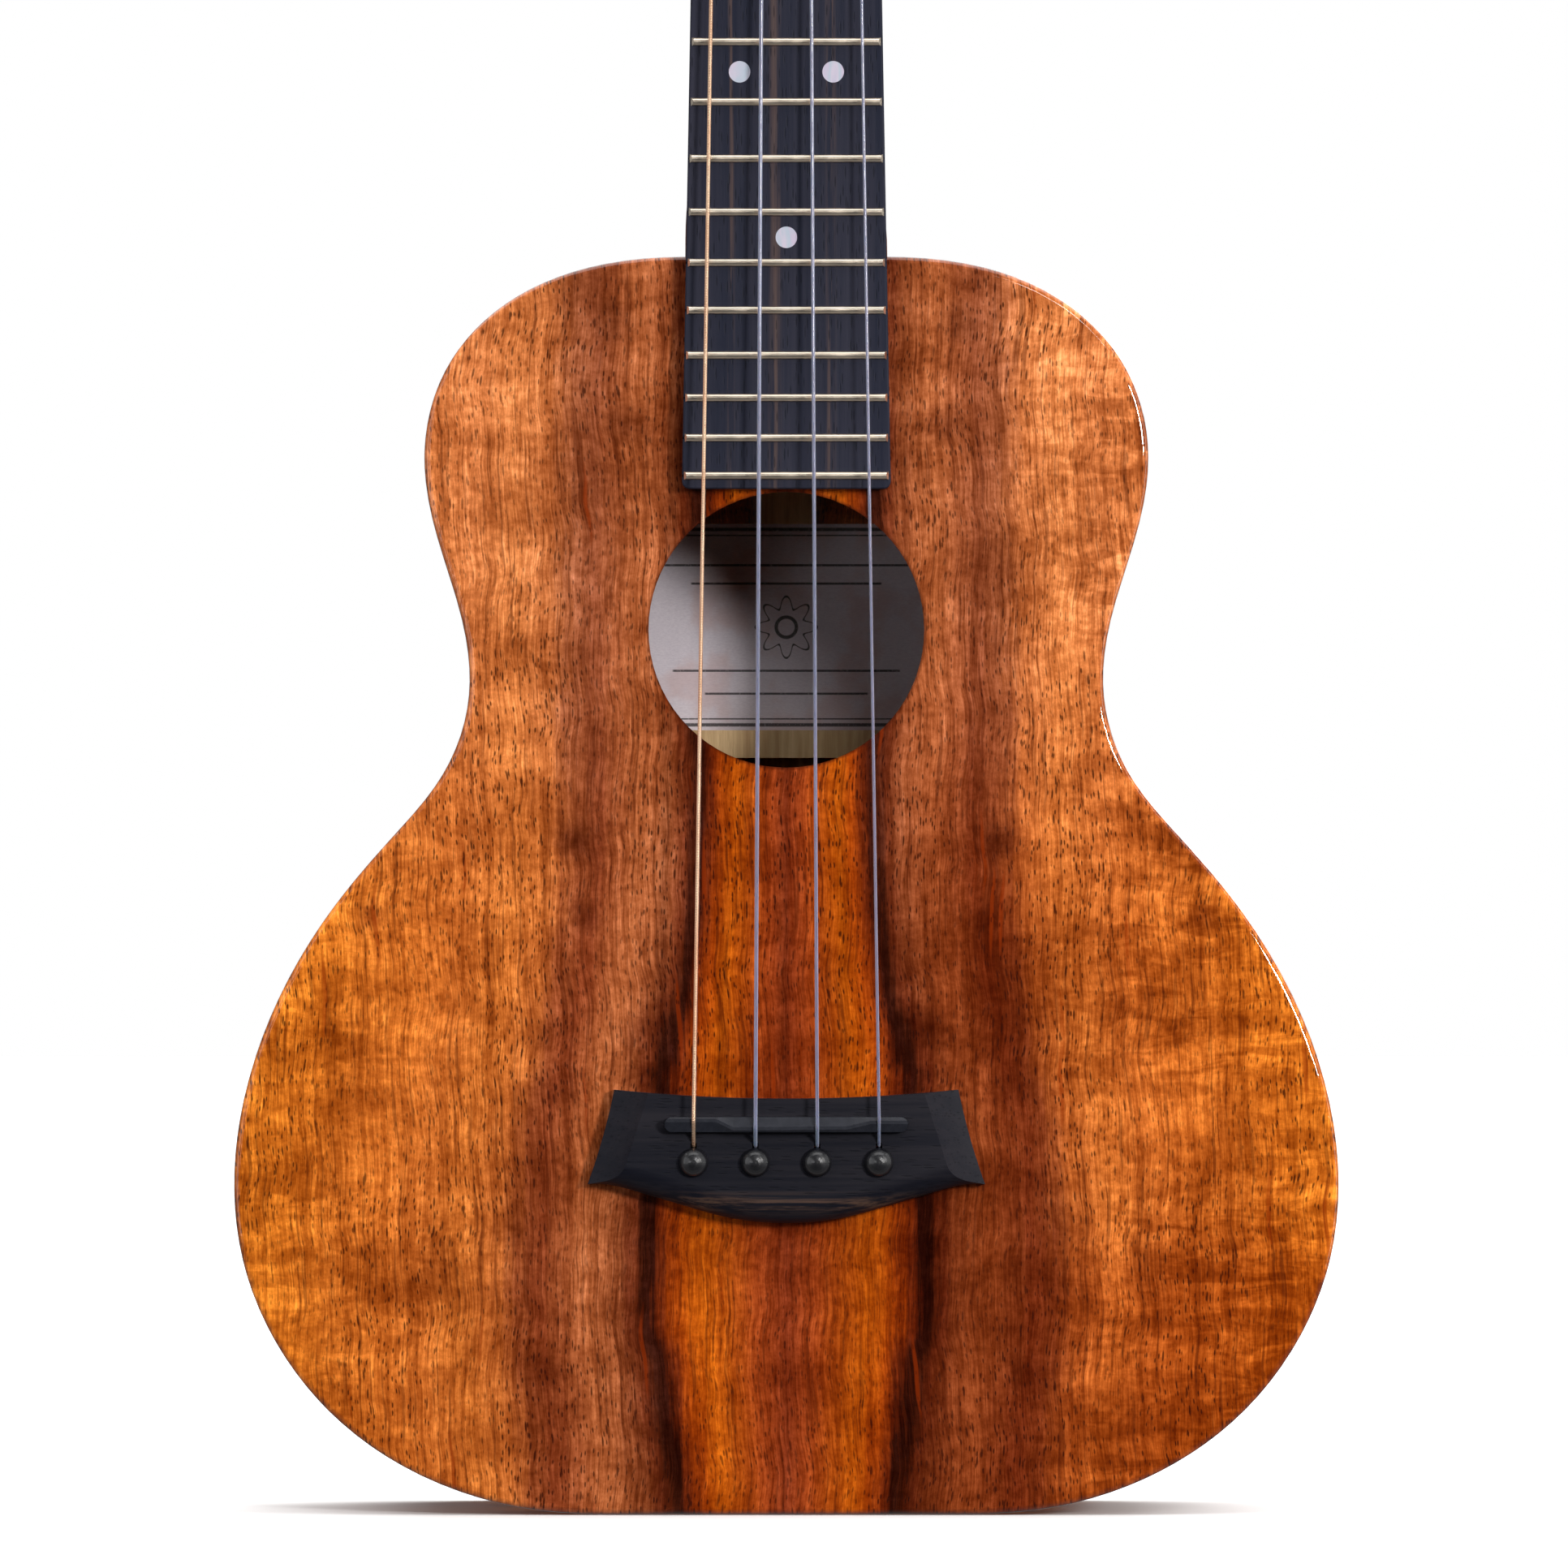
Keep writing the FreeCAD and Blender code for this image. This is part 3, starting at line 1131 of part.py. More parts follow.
add_soundboard()
add_back()
add_sides()
add_linings(*add_blocks())
add_top_bracing()
add_back_bracing()
add_fretboard()
add_frets()
add_nut()
add_neck()
add_bridge()
add_saddle()
add_bridge_pins()
add_strings()
add_windings()
add_tuners()
doc.recompute()
write_parts()
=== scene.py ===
"""The looks of a tenor ukulele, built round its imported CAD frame. Everything is in metres."""
import math

import bpy
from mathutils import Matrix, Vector


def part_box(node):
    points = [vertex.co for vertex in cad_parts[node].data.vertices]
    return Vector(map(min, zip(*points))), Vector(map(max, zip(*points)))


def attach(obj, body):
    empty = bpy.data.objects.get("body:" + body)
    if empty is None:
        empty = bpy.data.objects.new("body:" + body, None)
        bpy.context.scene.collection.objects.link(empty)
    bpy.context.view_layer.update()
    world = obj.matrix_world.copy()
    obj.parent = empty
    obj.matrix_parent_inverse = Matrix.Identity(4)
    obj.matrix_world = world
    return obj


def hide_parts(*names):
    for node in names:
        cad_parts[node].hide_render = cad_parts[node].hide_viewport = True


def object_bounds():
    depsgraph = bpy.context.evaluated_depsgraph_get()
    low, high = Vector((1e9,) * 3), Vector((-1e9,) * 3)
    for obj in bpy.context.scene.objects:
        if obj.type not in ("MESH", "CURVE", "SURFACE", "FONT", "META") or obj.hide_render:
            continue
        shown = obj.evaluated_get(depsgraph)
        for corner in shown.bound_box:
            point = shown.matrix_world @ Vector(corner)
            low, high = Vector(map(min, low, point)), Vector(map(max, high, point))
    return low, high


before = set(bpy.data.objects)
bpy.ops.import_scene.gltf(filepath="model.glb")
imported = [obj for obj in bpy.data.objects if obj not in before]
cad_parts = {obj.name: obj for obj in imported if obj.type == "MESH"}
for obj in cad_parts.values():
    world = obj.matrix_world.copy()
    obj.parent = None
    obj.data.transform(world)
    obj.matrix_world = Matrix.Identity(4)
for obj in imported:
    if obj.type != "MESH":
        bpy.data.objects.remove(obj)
cad_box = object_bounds()


# ---------------------------------------------------------------- node materials

MM_PER_M = 1000


def srgb(red, green, blue):
    """A linear colour from an sRGB one that is given in 0 to 255."""
    def linear(part):
        part /= 255
        return part / 12.92 if part < 0.04045 else ((part + 0.055) / 1.055) ** 2.4
    return (linear(red), linear(green), linear(blue), 1.0)


def grey(level):
    return (level, level, level, 1.0)


class Graph:
    """A node material in the making. Its coordinates are the part's own, in millimetres."""

    def __init__(self, name):
        self.material = bpy.data.materials.new(name)
        self.material.use_nodes = True
        self.tree = self.material.node_tree
        self.tree.nodes.clear()
        origin = self.add("ShaderNodeTexCoord").outputs["Object"]
        self.place = self.vector("MULTIPLY", origin, (MM_PER_M, MM_PER_M, MM_PER_M))
        self.x, self.y, self.z = self.add("ShaderNodeSeparateXYZ", {0: self.place}).outputs

    def put(self, socket, value):
        """Links a socket to the value, or sets it when the value is a constant."""
        if isinstance(value, bpy.types.NodeSocket):
            self.tree.links.new(value, socket)
        else:
            socket.default_value = value

    def add(self, kind, inputs=None, **settings):
        """A new node with these inputs, by name or index, and these properties."""
        node = self.tree.nodes.new(kind)
        for key, value in settings.items():
            setattr(node, key, value)
        for key, value in (inputs or {}).items():
            self.put(node.inputs[key], value)
        return node

    def math(self, operation, *values):
        return self.add("ShaderNodeMath", dict(enumerate(values)), operation=operation).outputs[0]

    def vector(self, operation, *values):
        inputs = dict(enumerate(values))
        return self.add("ShaderNodeVectorMath", inputs, operation=operation).outputs[0]

    def length(self, value):
        node = self.add("ShaderNodeVectorMath", {0: value}, operation="LENGTH")
        return node.outputs["Value"]

    def join(self, x, y, z):
        return self.add("ShaderNodeCombineXYZ", {0: x, 1: y, 2: z}).outputs[0]

    def scaled(self, scale, seed, place):
        """Coordinates in cycles: scale is cycles per millimetre along X, Y and Z."""
        shift = (seed * 7.3, seed * 3.1, seed * 5.7)
        return self.vector("MULTIPLY_ADD", place or self.place, scale, shift)

    def noise(self, scale, seed, detail=3.0, roughness=0.5, distortion=0.0, place=None):
        """Fractal noise in 0 to 1, in the part's own coordinates unless a place is given."""
        inputs = {"Vector": self.scaled(scale, seed, place), "Scale": 1.0, "Detail": detail,
                  "Roughness": roughness, "Distortion": distortion}
        return self.add("ShaderNodeTexNoise", inputs).outputs[0]

    def fade(self, value, low, high, start=0.0, end=1.0):
        """start below low, end above high, and a smooth step between; low may be the larger."""
        if isinstance(low, (int, float)) and low > high:
            low, high, start, end = high, low, end, start
        inputs = {0: value, 1: low, 2: high, 3: start, 4: end}
        return self.add("ShaderNodeMapRange", inputs, interpolation_type="SMOOTHSTEP").outputs[0]

    def ramp(self, factor, stops):
        """A colour ramp from (position, colour) stops."""
        node = self.add("ShaderNodeValToRGB", {0: factor})
        elements = node.color_ramp.elements
        while len(elements) < len(stops):
            elements.new(1.0)
        for element, (position, colour) in zip(elements, stops):
            element.position = position
            element.color = colour
        return node.outputs[0]

    def bands(self, place, bands, reach):
        """The colour at a place across bands, which are (millimetres, colour) out to a reach."""
        stops = [(middle / reach, tint) for middle, tint in bands]
        return self.ramp(self.math("DIVIDE", place, reach), stops)

    def mix(self, factor, first, second, blend="MIX"):
        node = self.add("ShaderNodeMix", data_type="RGBA", blend_type=blend)
        for index, value in ((0, factor), (6, first), (7, second)):
            self.put(node.inputs[index], value)
        return node.outputs[2]

    def shade(self, colour, level):
        """The colour made darker or lighter by a level round 1."""
        node = self.add("ShaderNodeVectorMath", {"Scale": level}, operation="SCALE")
        self.put(node.inputs[0], colour[:3] if isinstance(colour, tuple) else colour)
        return node.outputs[0]

    def dashes(self, scale, seed, share, place, width):
        """Short strokes, one at most in each cell; share is the part of the cells that have one."""
        cells = self.scaled(scale, seed, place)
        node = self.add("ShaderNodeTexVoronoi", {"Vector": cells, "Scale": 1.0})
        stroke = self.fade(node.outputs["Distance"], width, width * 0.5)
        chance = self.add("ShaderNodeSeparateColor", {0: node.outputs["Color"]}).outputs[0]
        return self.math("MULTIPLY", stroke, self.fade(chance, share, share - 0.08))

    def bump(self, height, distance, strength):
        """A normal from a height in 0 to 1 that stands for a distance in metres."""
        inputs = {"Height": height, "Distance": distance, "Strength": strength}
        return self.add("ShaderNodeBump", inputs).outputs[0]

    def finish(self, inputs):
        """Closes the graph with a Principled shader, and returns its material."""
        shader = self.add("ShaderNodeBsdfPrincipled", inputs)
        self.add("ShaderNodeOutputMaterial", {"Surface": shader.outputs[0]})
        return self.material


# Koa's colours as (millimetres, colour): from the centre joint outwards on a bookmatched plate, and
# from the front edge backwards on the sides.
TOP_BANDS = (
    (0, srgb(124, 47, 20)), (4, srgb(150, 60, 20)), (7, srgb(164, 70, 16)),
    (11, srgb(188, 86, 12)), (14, srgb(162, 64, 9)), (16.5, srgb(112, 40, 12)),
    (18, srgb(50, 16, 8)), (20, srgb(58, 22, 11)),
    (22, srgb(112, 48, 24)), (28, srgb(168, 90, 50)), (33, srgb(180, 98, 54)),
    (38, srgb(158, 80, 42)), (43, srgb(132, 58, 28)), (48, srgb(148, 72, 36)),
    (53, srgb(198, 106, 46)), (60, srgb(214, 118, 48)), (68, srgb(204, 108, 42)),
    (76, srgb(206, 108, 38)), (86, srgb(202, 106, 34)), (96, srgb(218, 118, 34)),
    (107, srgb(226, 126, 36)), (118, srgb(234, 136, 42)),
)
BACK_BANDS = (
    (0, srgb(96, 38, 18)), (6, srgb(140, 66, 30)), (14, srgb(166, 86, 38)),
    (22, srgb(128, 56, 26)), (30, srgb(174, 92, 42)), (42, srgb(186, 104, 48)),
    (50, srgb(116, 48, 22)), (56, srgb(158, 78, 36)), (70, srgb(190, 106, 46)),
    (84, srgb(150, 72, 32)), (96, srgb(194, 110, 44)), (118, srgb(204, 118, 44)),
)
HEAD_BANDS = (
    (0, srgb(120, 50, 22)), (5, srgb(168, 84, 30)), (12, srgb(184, 98, 36)),
    (18, srgb(126, 54, 24)), (24, srgb(176, 92, 40)), (32, srgb(190, 104, 44)),
)
SIDE_BANDS = (
    (0, srgb(176, 92, 38)), (10, srgb(194, 108, 46)), (20, srgb(132, 58, 26)),
    (27, srgb(170, 86, 38)), (38, srgb(188, 104, 46)), (48, srgb(108, 44, 20)),
    (55, srgb(166, 84, 36)), (68, srgb(190, 106, 44)), (80, srgb(178, 92, 38)),
)
TOP_REACH = 120.0                                      # how far each set of bands runs
BACK_REACH = 120.0
HEAD_REACH = 34.0
SIDE_REACH = 80.0

# Places on the body, in millimetres.
HOLE_HEIGHT = 189.3
HOLE_RADIUS = 29.5
SIDE_FRONT = 40.0                                      # starts the sides' bands at their front
GRAIN_HEIGHT = 135.0                                   # the sides' grain turns round this point
GRAIN_RADIUS = 120.0                                   # at about this distance
EDGE_ROUND = (-37.7, -36.9)                            # y where the soundboard's edge rolls over

# Koa's noise from coarse to fine: (cycles per millimetre, seed step, detail, darkest, lightest).
KOA_GRAIN = (
    ((0.035, 1, 0.055), 2, 4, 0.54, 1.30),
    ((0.55, 1, 0.016), 0, 5, 0.62, 1.40),
    ((0.45, 1, 0.42), 9, 4, 0.72, 1.30),
    ((2.60, 1, 0.14), 1, 4, 0.68, 1.36),
)

# Dark stains that both halves of the soundboard share: (from the centre, height, size, depth).
SMUDGES = (
    (46, 145, 7.0, 0.9), (43, 128, 5.0, 0.8), (89, 128, 5.0, 0.8), (33, 233, 6.0, 0.8),
    (60, 62, 6.0, 0.6), (75, 52, 8.0, 0.6), (30, 104, 7.0, 0.7), (48, 92, 6.0, 0.5),
    (37, 255, 6.0, 0.6), (52, 30, 7.0, 0.6),
)
STAIN = (0.40, 0.26, 0.18, 1.0)                        # what a stain multiplies the wood by
PAINTED_SHADE = (0.62, 0.45, 0.34, 1.0)                       # and what the painted shade on the treble side does
PORE = srgb(44, 14, 7)
VEIN = srgb(140, 46, 6)
DARK_LINE = srgb(78, 26, 8)
# the dark soundhole line and the painted dark reflection on the rounded edge
HOLE_LINE_AND_EDGE_REFLECTION = srgb(66, 22, 10)
CHANNEL_POWERS = (0.85, 1.15, 1.5)                     # koa turns redder as it darkens


def koa_finish(g, colour, across, along, seed, curl, fine=None, haze=0.035):
    """Adds koa's streaks, curl, sap veins and pores to its bands, under a gloss lacquer.

    across and along are the coordinates across the grain and along it; fine replaces across for
    what the two halves of a bookmatch don't share. curl is the depth of the figure, and haze is the
    lacquer's roughness.
    """
    flat = g.join(across, seed * 0.37, along)
    own = across if fine is None else fine
    sway = g.math("SUBTRACT", g.noise((0.025, 1, 0.035), seed + 8, 2, place=flat), 0.5)
    own = g.join(g.math("MULTIPLY_ADD", sway, 7.0, own), seed * 0.37, along)
    level = 1.0
    for scale, grain, detail, low, high in KOA_GRAIN:
        step = g.fade(g.noise(scale, seed + grain, detail, 0.7, place=own), 0.28, 0.72, low, high)
        level = g.math("MULTIPLY", step, level)
    ripple = g.noise((0.075, 1, 0.25), seed + 3, 3, 0.6, 0.7, place=own)
    ripple = g.fade(ripple, 0.38, 0.62, -1.0, 1.0)
    level = g.math("MULTIPLY", g.math("MULTIPLY_ADD", ripple, curl, 1.0), level)
    depths = [g.math("POWER", level, power) for power in CHANNEL_POWERS]
    colour = g.vector("MULTIPLY", colour, g.join(*depths))
    line = g.fade(g.noise((1.3, 1, 0.035), seed + 10, 3, 0.6, place=own), 0.55, 0.64)
    colour = g.mix(g.math("MULTIPLY", line, 0.5), colour, DARK_LINE)
    vein = g.dashes((0.50, 1, 0.026), seed + 4, 0.16, own, 0.32)
    colour = g.mix(g.math("MULTIPLY", vein, 0.55), colour, VEIN)
    dense = g.fade(g.noise((0.035, 1, 0.014), seed + 6, 3, place=flat), 0.35, 0.58, 0.45, 1.0)
    short = g.dashes((1.45, 1, 0.42), seed, 0.78, own, 0.34)
    long = g.dashes((1.05, 1, 0.19), seed + 1, 0.60, own, 0.29)
    pores = g.math("MULTIPLY", g.math("MAXIMUM", short, long), dense)
    colour = g.mix(g.math("MULTIPLY", pores, 0.82), colour, PORE)
    satin = g.fade(g.noise((0.9, 1, 0.05), seed + 7, place=flat), 0.3, 0.7, 0.42, 0.6)
    return g.finish({"Base Color": colour, "Roughness": satin, "Specular IOR Level": 0.0,
                     "Coat Weight": 1.0, "Coat Roughness": haze, "Coat IOR": 1.5})


def koa_top():
    """The bookmatched soundboard: dark streaks that flare round the bridge, golden outer bands."""
    g = Graph("koa_top")
    half = g.math("ABSOLUTE", g.x)
    flat = g.join(half, 0.0, g.z)
    # The dark streaks flare out round the bridge, and noise breaks up their edges.
    flare = g.math("SUBTRACT", g.fade(g.z, 150, 65, 0.0, 11.5), g.fade(g.z, 50, 0, 0.0, 6.0))
    near = g.math("MINIMUM", g.math("DIVIDE", half, 30.0), 1.0)
    wander = g.math("SUBTRACT", g.noise((0.012, 1, 0.010), 3, 3, place=flat), 0.5)
    fibre = g.math("SUBTRACT", g.noise((0.55, 1, 0.012), 4, 4, 0.7, place=flat), 0.5)
    wave = g.math("SUBTRACT", g.noise((0.05, 1, 0.13), 5, 3, place=flat), 0.5)
    rough_edge = g.math("MULTIPLY_ADD", fibre, 8.0, g.math("MULTIPLY", wave, 4.0))
    wander = g.math("MULTIPLY_ADD", wander, g.fade(half, 20, 45, 3.0, 13.0), rough_edge)
    drift = g.math("SUBTRACT", wander, flare)
    band = g.math("MULTIPLY_ADD", drift, near, half)
    colour = g.bands(band, TOP_BANDS, TOP_REACH)
    for place_x, place_z, size, depth in SMUDGES:
        away = g.length(g.vector("SUBTRACT", flat, (place_x, 0.0, place_z)))
        ragged = g.noise((0.12, 1, 0.12), 6, 4, 0.7, place=flat)
        spot = g.math("MULTIPLY_ADD", ragged, size * 1.6, away)
        stain = g.math("MULTIPLY", g.fade(spot, size * 1.9, size * 0.9), depth)
        colour = g.mix(stain, colour, STAIN, "MULTIPLY")
    # Painted sheen makes the upper bout paler and pinker, and painted shade darkens the treble side
    # below the waist and at its lower corner.
    upper = g.math("MULTIPLY", g.fade(g.z, 110, 215), g.fade(half, 22, 60, 0.0, 0.30))
    colour = g.mix(upper, colour, srgb(214, 140, 98))
    painted_shade = g.math("MULTIPLY", g.fade(g.x, 16, 34), g.fade(g.x, 44, 62, 1.0, 0.45))
    painted_shade = g.math("MULTIPLY", painted_shade, g.fade(g.z, 215, 120))
    foot = g.math("MULTIPLY", g.fade(g.z, 85, 45), g.fade(g.x, 30, 52))
    painted_shade = g.math("MAXIMUM", painted_shade, foot)
    colour = g.mix(painted_shade, colour, PAINTED_SHADE, "MULTIPLY")
    # A dark line round the soundhole, and a painted dark reflection on the soundboard's rounded
    # edge.
    out = g.length(g.vector("SUBTRACT", g.join(g.x, 0.0, g.z), (0.0, 0.0, HOLE_HEIGHT)))
    hole_line_and_edge_reflection = g.math("MAXIMUM", g.fade(out, HOLE_RADIUS + 0.8, HOLE_RADIUS), g.fade(g.y, *EDGE_ROUND))
    colour = g.mix(g.math("MULTIPLY", hole_line_and_edge_reflection, 0.65), colour, HOLE_LINE_AND_EDGE_REFLECTION)
    figured = g.math("MAXIMUM", g.fade(g.x, 30, 80), g.fade(half, 60, 105, 0.25, 0.7))
    patchy = g.fade(g.noise((0.018, 1, 0.018), 9, 2, place=flat), 0.35, 0.6, 0.35, 1.0)
    curl = g.math("MULTIPLY", g.math("MULTIPLY", figured, patchy), 0.34)
    return koa_finish(g, colour, half, g.z, 11, curl, g.math("MULTIPLY_ADD", g.z, 0.02, g.x))


def koa_plate(name, bands, reach, seed):
    """Another bookmatched koa plate, its grain along Z."""
    g = Graph(name)
    half = g.math("ABSOLUTE", g.x)
    flat = g.join(half, 0.0, g.z)
    wander = g.math("SUBTRACT", g.noise((0.012, 1, 0.008), seed, 3, place=flat), 0.5)
    band = g.math("MULTIPLY_ADD", wander, reach * 0.16, half)
    colour = g.bands(band, bands, reach)
    patchy = g.fade(g.noise((0.018, 1, 0.018), seed + 1, 2, place=flat), 0.35, 0.6, 0.06, 0.22)
    return koa_finish(g, colour, half, g.z, seed, patchy, haze=0.09)


def koa_side():
    """The bent sides: the grain runs round the body, so its bands follow the depth."""
    g = Graph("koa_side")
    wander = g.math("SUBTRACT", g.noise((0.008, 0.02, 0.008), 21, 3), 0.5)
    band = g.math("MULTIPLY_ADD", wander, 22.0, g.math("ADD", g.y, SIDE_FRONT))
    colour = g.bands(band, SIDE_BANDS, SIDE_REACH)
    turned = g.math("ARCTAN2", g.math("SUBTRACT", g.z, GRAIN_HEIGHT), g.math("ABSOLUTE", g.x))
    round_body = g.math("MULTIPLY", turned, GRAIN_RADIUS)
    patchy = g.fade(g.noise((0.012, 0.012, 0.012), 22, 2), 0.35, 0.6, 0.08, 0.24)
    return koa_finish(g, colour, g.y, round_body, 31, patchy, haze=0.10)


def plain_wood(name, dark, light, grain, roughness, coat, pores, seed, along="z", shine=0.4,
               accents=()):
    """A straight-grained wood between two colours; grain is its streaks per millimetre.

    Each accent is a streak of another colour: (place across the grain, half width, colour).
    """
    g = Graph(name)
    across = g.x if along == "z" else g.z
    board = g.place if along == "z" else g.join(g.z, g.y, g.x)
    streak = g.noise((grain, grain, grain * 0.02), seed, 5, 0.65, place=board)
    broad = g.noise((grain * 0.16, grain * 0.16, grain * 0.008), seed + 1, 3, place=board)
    blend = g.fade(g.math("MULTIPLY_ADD", broad, 0.6, g.math("MULTIPLY", streak, 0.6)), 0.40, 0.80)
    colour = g.mix(blend, dark, light)
    swayed = g.math("MULTIPLY_ADD", broad, 2.0, across)
    for middle, half_width, tint in accents:
        off = g.math("ABSOLUTE", g.math("SUBTRACT", swayed, middle + 1.0))
        broken = g.fade(streak, 0.42, 0.62, 0.0, 0.8)
        colour = g.mix(g.math("MULTIPLY", g.fade(off, half_width, 0.0), broken), colour, tint)
    mark = g.dashes((1.7, 1.7, 0.24), seed, 0.6, board, 0.40)
    pore = tuple(part * 0.3 for part in dark[:3]) + (1.0,)
    colour = g.mix(g.math("MULTIPLY", mark, pores), colour, pore)
    rough = g.fade(streak, 0.3, 0.7, roughness - 0.06, roughness + 0.08)
    relief = g.bump(g.math("SUBTRACT", streak, mark), 0.00006, 0.5)
    return g.finish({"Base Color": colour, "Roughness": rough, "Normal": relief,
                     "Specular IOR Level": shine, "Coat Weight": coat, "Coat Roughness": 0.12})


LABEL_RULES = ((-9.5, 25.0), (-14.5, 18.0), (9.5, 21.0), (13.5, 27.0))    # height, half length
WREATH_LOBES = 8.0


def paper():
    """The label: pale paper with a printed border, ruled lines and a plain wreath."""
    g = Graph("paper")
    low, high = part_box("label")
    middle, half = (low + high) / 2 * MM_PER_M, (high - low) / 2 * MM_PER_M
    side = g.math("ABSOLUTE", g.math("SUBTRACT", g.x, middle.x))
    rise = g.math("SUBTRACT", g.z, middle.z)
    inward = g.math("MINIMUM", g.math("SUBTRACT", half.x, side),
                    g.math("SUBTRACT", half.z, g.math("ABSOLUTE", rise)))

    def line(value, place, width):
        off = g.math("ABSOLUTE", g.math("SUBTRACT", value, place))
        return g.fade(off, width, width * 0.5)

    ink = g.math("MAXIMUM", line(inward, 1.2, 0.5), line(inward, 2.5, 0.2))
    for place, reach in LABEL_RULES:
        rule = g.math("MULTIPLY", line(rise, place, 0.32), g.fade(side, reach, reach - 0.5))
        ink = g.math("MAXIMUM", ink, rule)
    radius = g.length(g.join(side, 0.0, rise))
    lobes = g.math("COSINE", g.math("MULTIPLY", g.math("ARCTAN2", rise, side), WREATH_LOBES))
    petal = g.math("MULTIPLY_ADD", lobes, 1.3, 5.4)
    for outline in (line(g.math("SUBTRACT", radius, petal), 0.0, 0.30), line(radius, 2.2, 0.5)):
        ink = g.math("MAXIMUM", ink, outline)
    worn = g.fade(g.noise((2.0, 2, 2.0), 3, 4), 0.25, 0.45, 0.55, 0.9)
    wash = g.fade(g.noise((0.09, 0.1, 0.09), 5, 3), 0.48, 0.66, 0.0, 0.35)
    fibre = g.noise((1.2, 1, 3.5), 7, 5, 0.7)
    sheet = g.mix(g.fade(fibre, 0.3, 0.7), srgb(206, 197, 206), srgb(220, 212, 219))
    sheet = g.mix(wash, sheet, srgb(196, 150, 140))
    colour = g.mix(g.math("MULTIPLY", ink, worn), sheet, srgb(34, 28, 30))
    return g.finish({"Base Color": colour, "Roughness": 0.7, "Normal": g.bump(fibre, 0.00003, 0.4)})


def metal(name, colour, roughness, scratch_along="z", wear=0.10):
    """Plated or drawn metal with fine wear marks."""
    g = Graph(name)
    scale = {"z": (6, 6, 0.3), "x": (0.3, 6, 6)}[scratch_along]
    scratch = g.noise(scale, 1, 4, 0.7)
    cloud = g.noise((0.25, 0.25, 0.25), 2, 3)
    tint = g.shade(colour, g.fade(cloud, 0.3, 0.7, 0.86, 1.04))
    rough = g.math("ADD", g.fade(scratch, 0.35, 0.7, roughness - wear / 2, roughness + wear),
                   g.fade(cloud, 0.4, 0.7, 0.0, 0.06))
    return g.finish({"Base Color": tint, "Metallic": 1.0, "Roughness": rough,
                     "Normal": g.bump(scratch, 0.000002, 0.3)})


def plastic(name, colour, speck, roughness, coat, shine=0.5):
    """Moulded or polished material with faint mottling and handling marks."""
    g = Graph(name)
    cloud = g.noise((0.6, 0.6, 0.6), 1, 5, 0.65)
    tint = g.mix(g.fade(cloud, 0.35, 0.7), colour, speck)
    handled = g.noise((1.5, 1.5, 0.4), 2, 5, 0.7)
    rough = g.fade(handled, 0.35, 0.7, roughness - 0.04, roughness + 0.08)
    return g.finish({"Base Color": tint, "Roughness": rough, "Specular IOR Level": shine,
                     "Coat Weight": coat, "Coat Roughness": 0.04,
                     "Normal": g.bump(cloud, 0.00002, 0.25)})


def pearl():
    """Mother of pearl: soft layered bands that shift between pink, green and white."""
    g = Graph("pearl")
    layer = g.noise((0.22, 0.3, 0.10), 4, 2, 0.4, 0.6)
    colour = g.ramp(layer, [(0.25, srgb(164, 160, 188)), (0.42, srgb(196, 184, 204)),
                            (0.52, srgb(178, 190, 204)), (0.62, srgb(200, 192, 208)),
                            (0.8, srgb(166, 168, 194))])
    # Painted sheen: a green tint that grows towards grazing angles, by Layer Weight.
    facing = g.add("ShaderNodeLayerWeight", {"Blend": 0.35}).outputs["Facing"]
    colour = g.mix(g.math("MULTIPLY", facing, 0.5), colour, srgb(170, 205, 200))
    return g.finish({"Base Color": colour, "Roughness": 0.22, "Coat Weight": 0.8,
                     "Coat Roughness": 0.05, "Normal": g.bump(layer, 0.00003, 0.3)})


def clear_string():
    """Fluorocarbon line: pale violet, with a painted reflection that makes it brighter at its edges
    than down its middle.
    """
    g = Graph("clear_string")
    facing = g.add("ShaderNodeLayerWeight", {"Blend": 0.45}).outputs["Facing"]
    draw = g.noise((3, 3, 0.15), 1, 3)
    middle = g.mix(g.fade(draw, 0.3, 0.7), srgb(92, 92, 118), srgb(118, 116, 142))
    # Painted reflection: the line turns pale towards its edges, by Layer Weight.
    colour = g.mix(g.fade(facing, 0.15, 0.75), middle, srgb(196, 196, 214))
    return g.finish({"Base Color": colour, "Roughness": 0.18, "IOR": 1.42, "Coat Weight": 0.6,
                     "Coat Roughness": 0.05, "Subsurface Weight": 0.25,
                     "Normal": g.bump(draw, 0.00001, 0.3)})


def wound_string():
    """A wound bass string: bright copper wire, close turns across its run."""
    g = Graph("wound_string")
    turn = g.math("SINE", g.math("MULTIPLY_ADD", g.z, 18.0, g.math("MULTIPLY", g.x, 4.0)))
    turn = g.math("MULTIPLY_ADD", turn, 0.5, 0.5)
    tarnish = g.noise((0.5, 0.5, 0.06), 2, 4, 0.6)
    colour = g.mix(g.fade(tarnish, 0.35, 0.7), srgb(252, 214, 180), srgb(232, 176, 138))
    # Painted shade darkens the grooves between the turns.
    colour = g.shade(colour, g.fade(turn, 0.0, 0.6, 0.72, 1.0))
    return g.finish({"Base Color": colour, "Metallic": 0.75, "Roughness": 0.34,
                     "Normal": g.bump(turn, 0.00008, 0.6)})


BOARD_STREAK = srgb(84, 68, 64)
BOARD_ACCENTS = ((-12, 1.2, BOARD_STREAK), (-2.5, 1.8, BOARD_STREAK), (9.5, 1.6, BOARD_STREAK))
BRIDGE_ACCENTS = ((66.5, 3.0, srgb(88, 66, 54)),)      # a brown streak low on its belly

